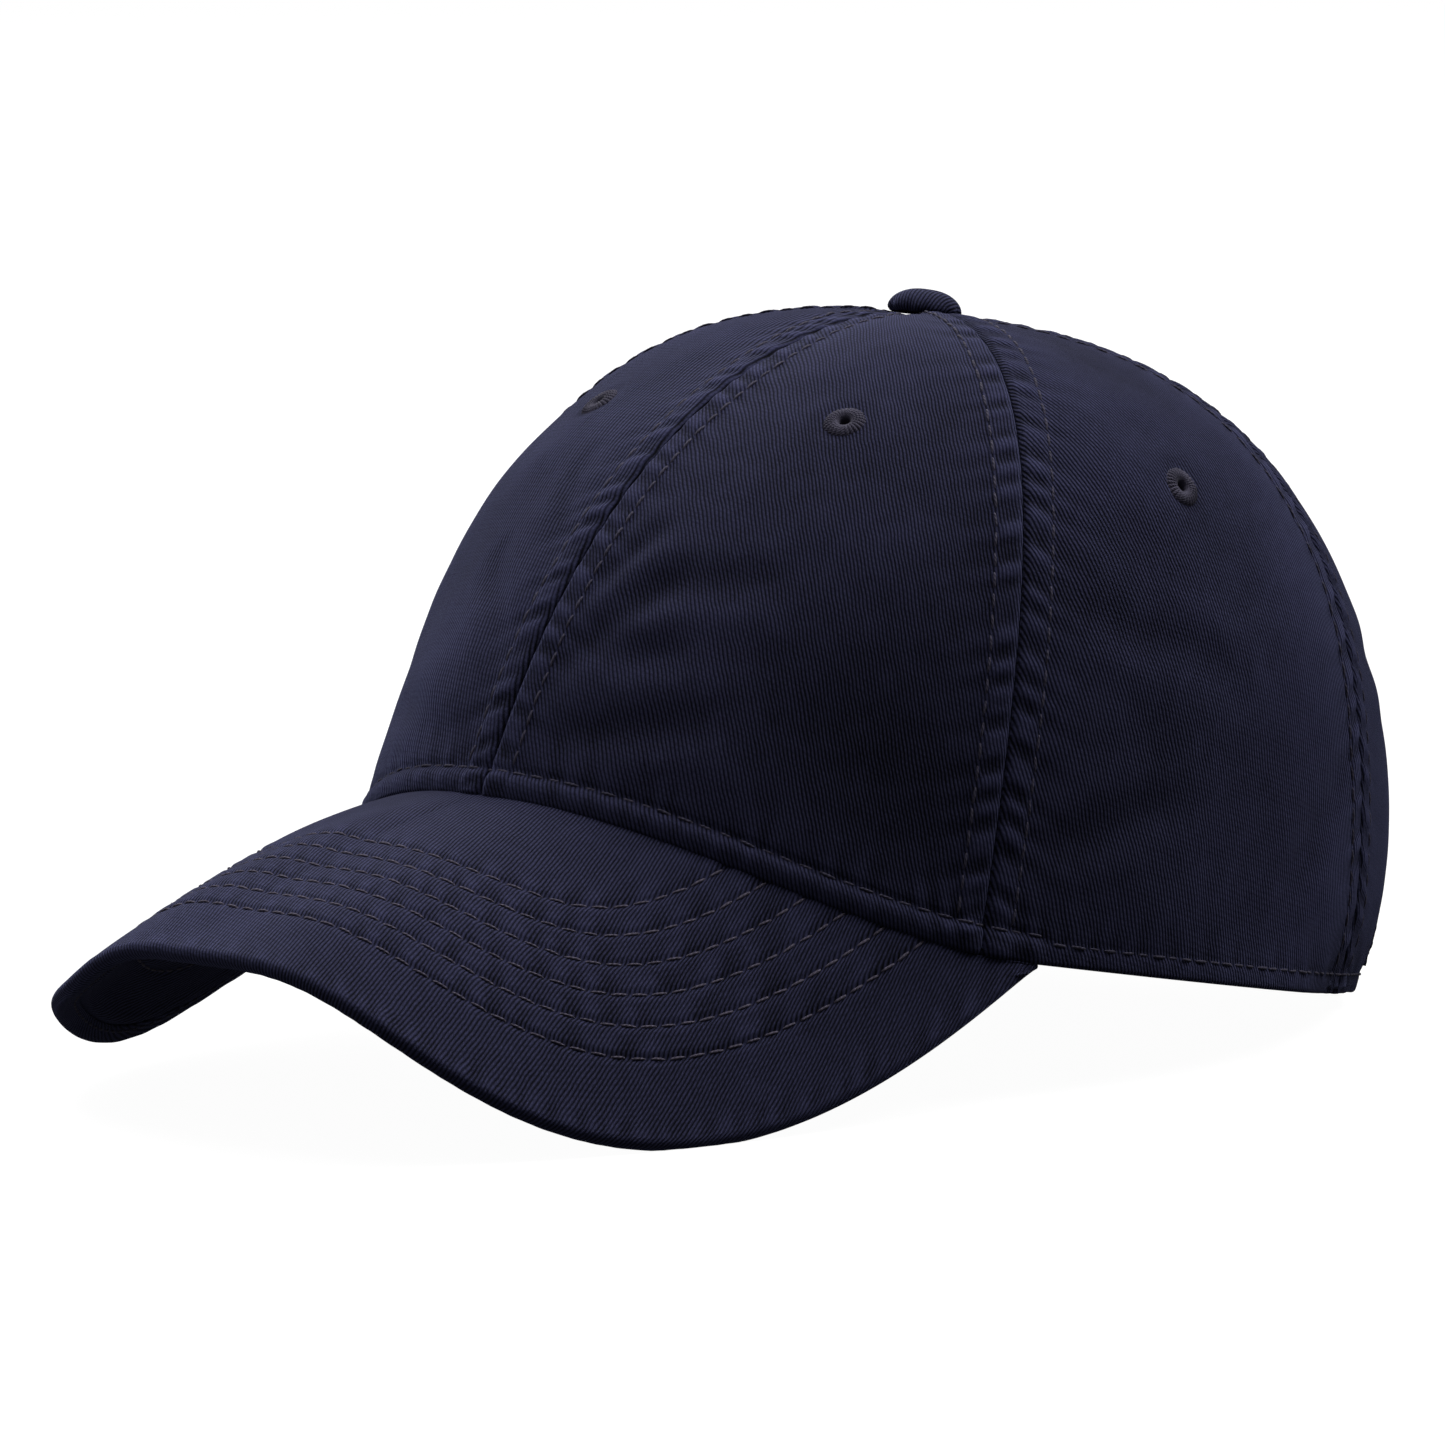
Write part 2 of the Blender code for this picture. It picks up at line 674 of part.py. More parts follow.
def join_union(name, meshes, slot):
    """One body from overlapping meshes, joined by Boolean unions."""
    obj = add(name, meshes[0], slot)
    for index, mesh in enumerate(meshes[1:]):
        tool = cutter_object(f"{name}_join_{index}", mesh, Matrix())
        tool.parent = obj
        union = obj.modifiers.new(f"join {index}", "BOOLEAN")
        union.operation = "UNION"
        union.solver = "EXACT"
        union.object = tool
    return obj


def make_label(woven):
    """Blank care label hanging inside the back on the left, sewn in with the rear seam's tape."""

    def rule(u, v):
        x = 0.044 + 0.015 * u
        z = 0.0345 + 0.026 * v
        return back_point(x, z, 0.0030 + 0.0010 * v[:, None])

    grid_object("care_label", rule, 3, 3, woven, 0.0004)


def settle(root):
    """Tips the cap until the brim and the back hem stand on z = 0, and centres its box on Z."""
    bpy.context.view_layer.update()
    graph = bpy.context.evaluated_depsgraph_get()
    clouds = []
    for obj in CAP.objects:
        if obj.type == "MESH":
            seen = obj.evaluated_get(graph)
            points = np.empty(len(seen.data.vertices) * 3, np.float32)
            seen.data.vertices.foreach_get("co", points)
            points = points.reshape(-1, 3).astype(float)
            turn = np.array(seen.matrix_world)
            clouds.append(points @ turn[:3, :3].T + turn[:3, 3])
    cloud = np.concatenate(clouds)
    tilt = 0.0
    for _ in range(12):
        y = cloud[:, 1] * math.cos(tilt) + cloud[:, 2] * math.sin(tilt)
        z = cloud[:, 2] * math.cos(tilt) - cloud[:, 1] * math.sin(tilt)
        front = np.flatnonzero(cloud[:, 1] < 0)[z[cloud[:, 1] < 0].argmin()]
        back = np.flatnonzero(cloud[:, 1] > 0)[z[cloud[:, 1] > 0].argmin()]
        tilt += math.atan2(z[back] - z[front], y[back] - y[front])
    y = cloud[:, 1] * math.cos(tilt) + cloud[:, 2] * math.sin(tilt)
    z = cloud[:, 2] * math.cos(tilt) - cloud[:, 1] * math.sin(tilt)
    middle_x = (cloud[:, 0].max() + cloud[:, 0].min()) / 2
    root.location = (-middle_x, -(y.max() + y.min()) / 2, -z.min())
    root.rotation_euler = (-tilt, 0, 0)


def build():
    """Makes every piece and stands the cap on the table."""
    start_clean()
    cloth = material("washed_twill", (0.030, 0.032, 0.062), 0.92)
    thread = material("thread", (0.060, 0.063, 0.110), 0.80)
    tape = material("bias_tape", (0.022, 0.024, 0.048), 0.90)
    cotton = material("sweatband_cotton", (0.026, 0.028, 0.055), 0.90)
    foam = material("pad_felt", (0.55, 0.55, 0.54), 0.95)
    board = material("brim_board_plastic", (0.75, 0.75, 0.72), 0.50)
    metal = material("buckle_metal", (0.42, 0.33, 0.20), 0.35, 1.0)
    steel = material("button_steel", (0.55, 0.56, 0.57), 0.40, 1.0)
    woven = material("label_satin", (0.80, 0.80, 0.78), 0.55)
    make_panels(cloth)
    make_eyelets(thread)
    make_tapes(tape)
    make_sweatband(cotton, foam)
    make_brim(cloth, board)
    make_button(cloth, steel)
    make_closure(cloth, metal, tape)
    make_label(woven)
    root = bpy.data.objects.new("cap_rest", None)
    CAP.objects.link(root)
    for obj in list(CAP.objects) + list(CUTTERS.objects):
        if obj is not root and obj.parent is None:
            obj.parent = root
    settle(root)


build()
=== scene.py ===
"""Looks of a washed cotton baseball cap: twill panels, sewn seams, stitched brim, sweatband and cam buckle.

Shapes are worked out in the cap's own frame, where the hem of the sides and back lies in the plane z = 0,
the brim points to -Y and the wearer's left is +X. in_room() then tips them as the cap stands on the table.
Lengths are metres. theta runs round the cap from the middle of the front, positive on the wearer's left,
and up runs from 0 at the hem to 1 at the top button.
"""

import json
import math

import bmesh
import bpy
import numpy as np
from mathutils import Matrix, Vector


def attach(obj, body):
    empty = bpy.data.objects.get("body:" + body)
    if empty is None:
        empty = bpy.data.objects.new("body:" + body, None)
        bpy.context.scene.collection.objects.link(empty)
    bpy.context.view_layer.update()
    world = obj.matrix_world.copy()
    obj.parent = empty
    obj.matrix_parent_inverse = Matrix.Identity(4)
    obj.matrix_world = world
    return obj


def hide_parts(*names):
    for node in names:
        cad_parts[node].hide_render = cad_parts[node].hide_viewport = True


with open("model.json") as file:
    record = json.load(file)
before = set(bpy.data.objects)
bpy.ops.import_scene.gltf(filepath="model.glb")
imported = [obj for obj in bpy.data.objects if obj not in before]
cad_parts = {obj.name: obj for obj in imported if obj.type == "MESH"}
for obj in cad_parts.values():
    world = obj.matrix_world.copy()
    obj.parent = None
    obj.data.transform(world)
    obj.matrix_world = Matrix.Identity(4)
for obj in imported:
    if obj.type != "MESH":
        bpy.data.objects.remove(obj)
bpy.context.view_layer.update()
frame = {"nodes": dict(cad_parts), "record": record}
MM = 0.001

# Crown
HALF_WIDTH = 0.0793
FRONT_LENGTH = 0.1011
BACK_LENGTH = 0.1057
PLAN_SHIFT = 0.0073
CROWN_HEIGHT = 0.1123
TOP_SHIFT = 0.0042
START_ANGLE = (19.2, 3.6, -18.4)
ROUNDNESS = (1.18, 0.76, 0.87)
UPRIGHTNESS = (0.71, 0.50, 1.28)
FRONT_RISE = 0.0166
BRIM_ANGLE = 70.5
SEAMS = {"front": (0.0, 0.0), "side": (63.5, 63.4), "rear": (123.9, 108.0), "back": (180.0, 180.0)}
TOP_HOLE = 0.0028
EYELETS = {"front": (36.2, 0.60), "side": (86.5, 0.625), "back": (147.0, 0.62)}
CLOTH = 0.0006
NEEDLE_ROW = 0.0053
HEM_ROW = 0.0037
BEAD_ROW = 0.0050
ARCH_ROW = 0.0034
HEM_FLAP = 0.0095
TABLE_GAP = 0.00005
HEM_PULL = 0.0028
HEM_PULL_HEIGHT = 0.019
FOLD_RADIUS = 0.00085

# Layers inside the crown
TAPE_DEPTH = 0.0019
TAPE_HALF = 0.009
BAND_HEIGHT = 0.032
BAND_DEPTH = (0.0026, 0.0050)
BAND_SKIN = 0.0011
BAND_END = 151.0

# Brim
BRIM_HALF = 0.0763
BRIM_REACH = 0.1568
BRIM_DROP = 0.0175
BRIM_POWERS = (3.58, 0.893)
BRIM_ARCH = 0.0516
BRIM_BULGE = 0.0024
BRIM_FAN = 1.54
# Hand-curled brim: its right side is flatter and fuller. Rise in metres, place and width round the edge.
BRIM_CURL = ((0.0113, -0.726, 0.168), (-0.0060, -0.278, 0.1225), (0.0030, 0.024, 0.61))
BRIM_RIGHT = (0.14, 0.0014, 0.0035)
BRIM_THICK = 0.0032
BRIM_TIP = 0.985
LIP = 0.0030
BRIM_ROWS = (0.0158, 0.0217, 0.0276, 0.0335, 0.0394, 0.0453)

# Back opening and its strap
ARCH_HALF = 0.036
ARCH_HEIGHT = 0.046
ARCH_LEG = 0.012
STRAP_RADIUS = 0.0625
STRAP_CENTRE = 0.0470
STRAP_THICK = 0.0010
STRAP_Z = (0.0045, 0.0205)
STRAP_SPAN = (-55.0, 47.0)
BAR_X = 0.0285
BAR_DEPTH = -0.0027
LOOP_OUT = 0.0006
LOOP_HOLLOW = 0.0008

# Stitches and cloth
STITCH_PITCH = 0.0037
STITCH_LENGTH = 0.0031
THREAD_RADIUS = 0.00021
STITCH_LIFT = 0.00012
PLY_LENGTH = 0.0009
FLECK_SPACING = 0.0042
TWILL_PITCH = 0.00072
TWILL_LEAN = -22.0

# Camera
LOOK_FROM = (44.536, 7.347, -0.295)
CAMERA_SPOT = (1.07021, -1.09690, 0.25590)
LENS = 217.13


# ---------------------------------------------------------------- placing

post = next(m for m in frame["record"]["mounts"] if m["name"] == "display_post")
TIP_SIN, TIP_COS = -post["axis"][1], -post["axis"][2]
POST_HEIGHT = CROWN_HEIGHT - 0.0025
ROOM_Y = post["pos_m"][1] - TIP_COS * TOP_SHIFT - TIP_SIN * POST_HEIGHT
ROOM_Z = post["pos_m"][2] + TIP_SIN * TOP_SHIFT - TIP_COS * POST_HEIGHT


def in_room(points):
    """Cap frame to room: a turn about X that tips the cap forward, then a shift."""
    x, y, z = np.moveaxis(np.asarray(points, float), -1, 0)
    return np.stack([x, TIP_COS * y + TIP_SIN * z + ROOM_Y, TIP_COS * z - TIP_SIN * y + ROOM_Z], -1)


def unit(vectors):
    """The vectors at length one."""
    return vectors / np.maximum(np.linalg.norm(vectors, axis=-1, keepdims=True), 1e-12)


def smooth(x):
    """0 below 0, 1 above 1, and 3x^2 - 2x^3 between."""
    x = np.clip(x, 0, 1)
    return x * x * (3 - 2 * x)


def hump(x, width):
    """Bell exp(-(x / width)^2)."""
    return np.exp(-((x / width) ** 2))


# ---------------------------------------------------------------- the crown's plain shape


def around(theta, front, side, back):
    """A value that goes from front to side to back with the square of the cosine."""
    c = np.cos(theta)
    return side + (np.where(c > 0, front, back) - side) * c * c


def hem_plan(theta):
    """Plan of the crown at the hem: two half ovals that share their width."""
    length = np.where(np.cos(theta) > 0, FRONT_LENGTH, BACK_LENGTH)
    return HALF_WIDTH * np.sin(theta), PLAN_SHIFT - length * np.cos(theta)


def hem_rise(theta):
    """Height of the crown's lower edge, which the curved brim lifts at the front."""
    part = np.minimum(np.abs(theta) / math.radians(BRIM_ANGLE), 1.0)
    return FRONT_RISE * (0.5 + 0.5 * np.cos(math.pi * part**1.2))


def meridian(theta, height):
    """Angle up the crown's side at a height, with its start angle."""
    start = np.radians(around(theta, *START_ANGLE))
    share = np.clip(height / CROWN_HEIGHT, 0, 1) ** (1 / around(theta, *UPRIGHTNESS))
    return np.arcsin(np.sin(start) + (1 - np.sin(start)) * share), start


def fraction(theta, height):
    """Share of the way from the hem to the top button at a height."""
    power = around(theta, *UPRIGHTNESS)
    angle, start = meridian(theta, height)
    low, _ = meridian(theta, hem_rise(theta))
    share = (np.maximum(angle - start, 0) / (math.pi / 2 - start)) ** power
    low_share = (np.maximum(low - start, 0) / (math.pi / 2 - start)) ** power
    return (share - low_share) / (1 - low_share)


def crown(theta, up):
    """Outer surface: an oval plan scaled by cos(angle)**roundness at height sin(angle)**uprightness."""
    theta = np.asarray(theta, float)
    power = around(theta, *UPRIGHTNESS)
    low, start = meridian(theta, hem_rise(theta))
    low_share = (np.maximum(low - start, 0) / (math.pi / 2 - start)) ** power
    share = (low_share + (1 - low_share) * np.clip(up, 0, 1)) ** (1 / power)
    angle = start + (math.pi / 2 - start) * share
    scale = np.maximum(np.cos(angle) / np.cos(start), 0) ** around(theta, *ROUNDNESS)
    rise = np.maximum((np.sin(angle) - np.sin(start)) / (1 - np.sin(start)), 0) ** power
    x, y = hem_plan(theta)
    return np.stack([x * scale, TOP_SHIFT * rise + y * scale, CROWN_HEIGHT * rise], -1)


def crown_frame(theta, up):
    """Point, outward normal and upward tangent of the crown, and its metres per radian across."""
    theta, up = np.broadcast_arrays(np.asarray(theta, float), np.asarray(up, float))
    step = 2e-4
    across = (crown(theta + step, up) - crown(theta - step, up)) / (2 * step)
    along = crown(theta, np.minimum(up + step, 1)) - crown(theta, np.maximum(up - step, 0))
    speed = np.linalg.norm(across, axis=-1)
    return crown(theta, up), unit(np.cross(across, along)), unit(along), speed


def climb(theta, up, steps=20):
    """Length of the way up the crown from the hem, summed over short chords."""
    theta, up = np.broadcast_arrays(np.asarray(theta, float), np.asarray(up, float))
    total = np.zeros(theta.shape)
    last = crown(theta, 0 * up)
    for k in range(1, steps + 1):
        point = crown(theta, up * k / steps)
        total += np.linalg.norm(point - last, axis=-1)
        last = point
    return total


def up_for_climb(theta, length):
    """The share of the way up at a short length above the hem."""
    theta = np.asarray(theta, float)
    return length * 0.05 / climb(theta, 0.05 + 0 * theta, 6)


def up_at_radius(theta, radius):
    """Share of the way up where the crown is this far from the middle of the button."""
    low, high = np.full_like(theta, 0.3), np.ones_like(theta)
    for _ in range(30):
        middle = (low + high) / 2
        point = crown(theta, middle) - np.array([0, TOP_SHIFT, 0])
        outside = np.hypot(point[..., 0], point[..., 1]) > radius
        low, high = np.where(outside, middle, low), np.where(outside, high, middle)
    return low


def seam_angle(seam, up):
    """Angle of a seam at a share of the way up."""
    return np.radians(seam[0] + (seam[1] - seam[0]) * up)


def arch_outline(grow, turn):
    """The back opening's outline at an angle from one foot to the other: legs and a half ellipse."""
    return (ARCH_HALF + grow) * np.cos(turn), ARCH_LEG + (ARCH_HEIGHT - ARCH_LEG + grow) * np.sin(turn)


def back_angle(x, z):
    """The angle round the cap at which its back has this x at this height, by repeated sine ratios."""
    theta = math.pi - np.arcsin(np.clip(x / HALF_WIDTH, -1, 1))
    for _ in range(12):
        found = crown(theta, fraction(theta, z))[..., 0]
        ratio = x / np.where(np.abs(found) < 1e-9, 1, found)
        theta = math.pi - np.arcsin(np.clip(np.sin(theta) * ratio, -1, 1))
    return theta


def back_point(x, z, depth):
    """The point of the crown's back at an x and a height, at a depth inside it."""
    theta = back_angle(x, z)
    point, normal, _, _ = crown_frame(theta, fraction(theta, z))
    return point - normal * np.asarray(depth)


# ---------------------------------------------------------------- sewn relief of the crown


def ripple(length, seed):
    """Uneven waves along a seam: three sines of unlike wavelengths, squeezed to about -1 to 1."""
    phase = np.random.default_rng(seed).uniform(0, 2 * math.pi, 4)
    slow = 0.9 * np.sin(2 * math.pi * length / 0.031 + phase[3])
    waves = (
        1.00 * np.sin(2 * math.pi * length / 0.0062 + phase[0] + slow)
        + 0.55 * np.sin(2 * math.pi * length / 0.0041 + phase[1] - slow)
        + 0.50 * np.sin(2 * math.pi * length / 0.0093 + phase[2])
    )
    return np.tanh(waves * 0.9)


def swell(points, seed, wavelengths, count):
    """Soft unevenness: a sum of sines in random directions, each as high as its wave is long."""
    rng = np.random.default_rng(seed)
    total = np.zeros(points.shape[:-1])
    for _ in range(count):
        wave = unit(rng.normal(size=3)) / rng.uniform(*wavelengths)
        height = 1 / np.linalg.norm(wave) / wavelengths[1]
        total += height * np.sin(2 * math.pi * (points @ wave) + rng.uniform(0, 2 * math.pi))
    return total / math.sqrt(count)


CREASE_DEPTH = 0.0007
# Creases: angle and height of both ends, depth in mm, half width in mm
CREASES = (
    (4, 0.040, 20, 0.060, 0.9, 3.4),
    (3, 0.052, 13, 0.067, 0.6, 2.6),
    (8, 0.028, 30, 0.034, 0.8, 3.6),
    (14, 0.056, 34, 0.060, 0.7, 3.2),
    (10, 0.044, 24, 0.045, 0.6, 2.8),
    (-6, 0.042, -22, 0.060, 0.8, 3.4),
    (-5, 0.060, -18, 0.078, 0.6, 3.0),
    (-10, 0.026, -30, 0.032, 0.7, 3.4),
    (68, 0.020, 84, 0.030, 0.5, 3.6),
    (70, 0.062, 92, 0.054, 0.5, 4.0),
    (104, 0.018, 116, 0.044, 0.5, 3.6),
    (-68, 0.030, -86, 0.022, 0.6, 3.6),
    (-72, 0.058, -100, 0.070, 0.5, 4.0),
    (130, 0.060, 150, 0.066, 0.6, 3.6),
    (-128, 0.052, -146, 0.064, 0.6, 3.6),
    (165, 0.070, 150, 0.086, 0.5, 3.4),
)


def creases(theta, height):
    """Soft dents along short lines on the unrolled crown, each with a low ridge on both sides."""
    total = np.zeros(theta.shape)
    reach = (HALF_WIDTH + FRONT_LENGTH) / 2
    for first, low, last, high, depth, width in CREASES:
        start = np.array([math.radians(first) * reach, low])
        run = np.array([math.radians(last) * reach, high]) - start
        to = np.stack([theta * reach, height], -1) - start
        share = (to @ run) / (run @ run)
        off = np.linalg.norm(to - np.clip(share, 0, 1)[..., None] * run, axis=-1) / MM
        ends = smooth(1.5 - np.abs(share - 0.5) * 2)
        total += CREASE_DEPTH * depth * ends * (0.45 * hump(off - 1.9 * width, width) - hump(off, width))
    return total


def wrap(angle):
    """An angle brought to between minus and plus half a turn."""
    return (angle + math.pi) % (2 * math.pi) - math.pi


def arch_distance(point):
    """Distance outside the back opening's outline: its level function over the length of its gradient."""
    x, z = np.abs(point[..., 0]), np.maximum(point[..., 2] - ARCH_LEG, 0)
    wide, tall = ARCH_HALF, ARCH_HEIGHT - ARCH_LEG
    level = np.hypot(x / wide, z / tall)
    slope = np.hypot(x / wide**2, z / tall**2) / np.maximum(level, 1e-6)
    distance = (level - 1) / np.maximum(slope, 1e-6)
    return np.where(point[..., 1] > 0, distance, 1.0)


def seam_lines():
    """Each crown seam as a name, a side and its angles: one at the front and back, two at each side."""
    for name, seam in SEAMS.items():
        for sign in (1,) if name in ("front", "back") else (1, -1):
            yield name, sign, seam


def row_offset(speed):
    """How far the needle rows lie from a seam: 5.3 mm, less where the panels narrow to the top."""
    return np.minimum(NEEDLE_ROW, 0.40 * math.radians(60) * speed)


def relief(theta, up):
    """Height of the sewn cloth over the plain crown, and the part of it that small puckers make.

    Each seam is a narrow valley between two raised allowances that end at needle rows. Waves cross the
    allowances and die away beyond the rows. The hem is a fold with a needle row, fuller above the brim.
    Round the eyelets and the top button the cloth is drawn in.
    """
    theta, up = np.broadcast_arrays(np.asarray(theta, float), np.asarray(up, float))
    point, _, _, speed = crown_frame(theta, up)
    length = climb(theta, up)
    row = row_offset(speed)
    scale = row / NEEDLE_ROW
    arch = arch_distance(point)
    height = np.zeros(theta.shape)
    pucker = np.zeros(theta.shape)
    calm = np.ones(theta.shape)
    for index, (name, sign, seam) in enumerate(seam_lines()):
        offset = wrap(theta - sign * seam_angle(seam, up)) * speed
        apart = np.abs(offset)
        live = smooth((arch + 0.0005) / 0.003) * (point[..., 2] > 0.03) if name == "back" else 1.0
        waves = np.where(offset > 0, ripple(length + 0.4 * apart, 11 + index * 2), 0)
        waves = np.where(offset > 0, waves, ripple(length + 0.4 * apart, 10 + index * 2))
        between = np.sin(math.pi * np.clip(apart / row, 0, 1)) ** 0.7
        beyond = np.exp(-np.maximum(apart - row, 0) / 0.0042) * smooth((apart - row) / 0.0012)
        flat = smooth((row + 0.0012 - apart) / 0.0016)
        height += live * scale * (
            0.00036 * flat
            - 0.00085 * hump(apart, 0.0007)
            - 0.00022 * hump(apart - row, 0.0007)
        )
        pucker += live * scale * waves * (0.00026 * between + 0.00013 * beyond)
        calm *= 1 - live * hump(apart, 0.008)
    around_front = smooth((BRIM_ANGLE + 1.5 - np.degrees(np.abs(theta))) / 3)
    fold_row = HEM_ROW + (BEAD_ROW - HEM_ROW) * around_front
    hem_waves = ripple(theta * speed + 0.3 * length, 41)
    near = smooth((fold_row + 0.0010 - length) / 0.0016)
    bead = np.sin(math.pi * np.clip(length / fold_row, 0, 1)) ** 0.8
    height += near * (0.00024 + 0.00062 * around_front * bead)
    height -= (0.00024 + 0.00018 * around_front) * hump(length - fold_row, 0.0008)
    pucker += hem_waves * (
        0.00012 * bead + 0.00020 * np.exp(-np.maximum(length - fold_row, 0) / 0.004) * (length > fold_row)
    )
    height += 0.00040 * smooth((ARCH_ROW + 0.001 - arch) / 0.0016) - 0.0010 * hump(arch, 0.0007)
    height -= 0.00035 * hump(arch - ARCH_ROW, 0.0007)
    pucker += 0.00022 * ripple(theta * 0.06 + point[..., 2], 47) * hump(arch - 0.5 * ARCH_ROW, 0.004)
    calm *= smooth(length / 0.016) * smooth(arch / 0.012)
    for angle, share in EYELETS.values():
        for sign in (1, -1):
            middle = crown(np.array(sign * math.radians(angle)), np.array(share))
            apart = np.linalg.norm(point - middle, axis=-1)
            spoke = ripple(np.arctan2(point[..., 2] - middle[2], wrap(theta) * speed) * 0.004, 53)
            height += -0.00035 * hump(apart, 0.0042) + 0.00012 * hump(apart - 0.0062, 0.0018)
            pucker += 0.00010 * spoke * hump(apart - 0.0055, 0.0025)
    degrees = np.degrees(np.abs(wrap(theta)))
    drawn = smooth((degrees - 108) / 16) * (1 - 0.85 * smooth((degrees - 136) / 10))
    under_loop = smooth((point[..., 0] - 0.024) / 0.008) * smooth((0.052 - point[..., 0]) / 0.008)
    under_loop *= smooth((0.026 - point[..., 2]) / 0.006) * (point[..., 1] > 0)
    height -= LOOP_HOLLOW * under_loop
    height -= HEM_PULL * drawn * np.clip(1 - point[..., 2] / HEM_PULL_HEIGHT, 0, 1) ** 2
    radius = np.hypot(point[..., 0], point[..., 1] - TOP_SHIFT)
    height -= 0.0011 * hump(radius, 0.0085) * (point[..., 2] > 0.09)
    broad = 0.00065 * swell(point, 3, (0.028, 0.070), 12) + 0.00010 * swell(point, 5, (0.009, 0.020), 14)
    height += calm * (broad + creases(theta, point[..., 2]))
    return height + pucker, pucker


def skin(theta, up, lift=0.0):
    """The sewn outer surface, raised along the plain crown's normal, with that normal."""
    point, normal, _, _ = crown_frame(theta, up)
    return point + normal * (relief(theta, up)[0] + lift)[..., None], normal


# ---------------------------------------------------------------- node materials


class Finish:
    """A Principled material built node by node from numbers and other nodes' outputs."""

    def __init__(self, name):
        self.material = bpy.data.materials.new(name)
        self.material.use_nodes = True
        self.tree = self.material.node_tree
        self.shader = self.tree.nodes["Principled BSDF"]

    def put(self, socket, value):
        """A number, colour or another node's output into a socket."""
        if isinstance(value, bpy.types.NodeSocket):
            self.tree.links.new(value, socket)
        elif value is not None:
            socket.default_value = value

    def node(self, kind, inputs=None, output=0, **settings):
        """A node with its settings and inputs, given by name or place; returns one output."""
        made = self.tree.nodes.new(kind)
        for key, value in settings.items():
            setattr(made, key, value)
        for key, value in (inputs or {}).items():
            self.put(made.inputs[key], value)
        return made.outputs[output]

    def math(self, operation, *values, clamp=False):
        """One step of arithmetic."""
        return self.node("ShaderNodeMath", dict(enumerate(values)), operation=operation, use_clamp=clamp)

    def mix(self, share, first, second):
        """A colour between two, by a share."""
        made = self.tree.nodes.new("ShaderNodeMix")
        made.data_type = "RGBA"
        colours = [s for s in made.inputs if s.type == "RGBA"]
        self.put(made.inputs[0], share)
        self.put(colours[0], first if isinstance(first, bpy.types.NodeSocket) else (*first, 1))
        self.put(colours[1], second if isinstance(second, bpy.types.NodeSocket) else (*second, 1))
        return next(s for s in made.outputs if s.type == "RGBA")

    def place(self, source="Object"):
        """Object coordinates, or the piece's own UV map."""
        return self.node("ShaderNodeTexCoord", output=source)

    def noise(self, where, scale, detail=2.0, rough=0.5):
        """Noise from 0 to 1."""
        inputs = {"Vector": where, "Scale": scale, "Detail": detail, "Roughness": rough}
        return self.node("ShaderNodeTexNoise", inputs)

    def turned(self, where, scale, turn=0.0):
        """A pattern's place, turned about Z and scaled."""
        inputs = {"Vector": where, "Rotation": (0, 0, turn), "Scale": (scale, scale, scale)}
        return self.node("ShaderNodeMapping", inputs)

    def split(self, vector):
        """X, Y and Z of a vector."""
        made = self.tree.nodes.new("ShaderNodeSeparateXYZ")
        self.put(made.inputs[0], vector)
        return made.outputs

    def bump(self, height, distance, strength=1.0):
        """A bump into the shader's normal."""
        inputs = {"Height": height, "Distance": distance, "Strength": strength}
        self.put(self.shader.inputs["Normal"], self.node("ShaderNodeBump", inputs))

    def set(self, **values):
        """Plain numbers and colours on the shader's own sockets, spaces written as _."""
        for key, value in values.items():
            self.put(self.shader.inputs[key.replace("_", " ")], value)
        return self


def wave(finish, value):
    """0.5 + 0.5 cos(2 pi value)."""
    angle = finish.math("MULTIPLY", value, 2 * math.pi)
    return finish.math("MULTIPLY_ADD", finish.math("COSINE", angle), 0.5, 0.5)


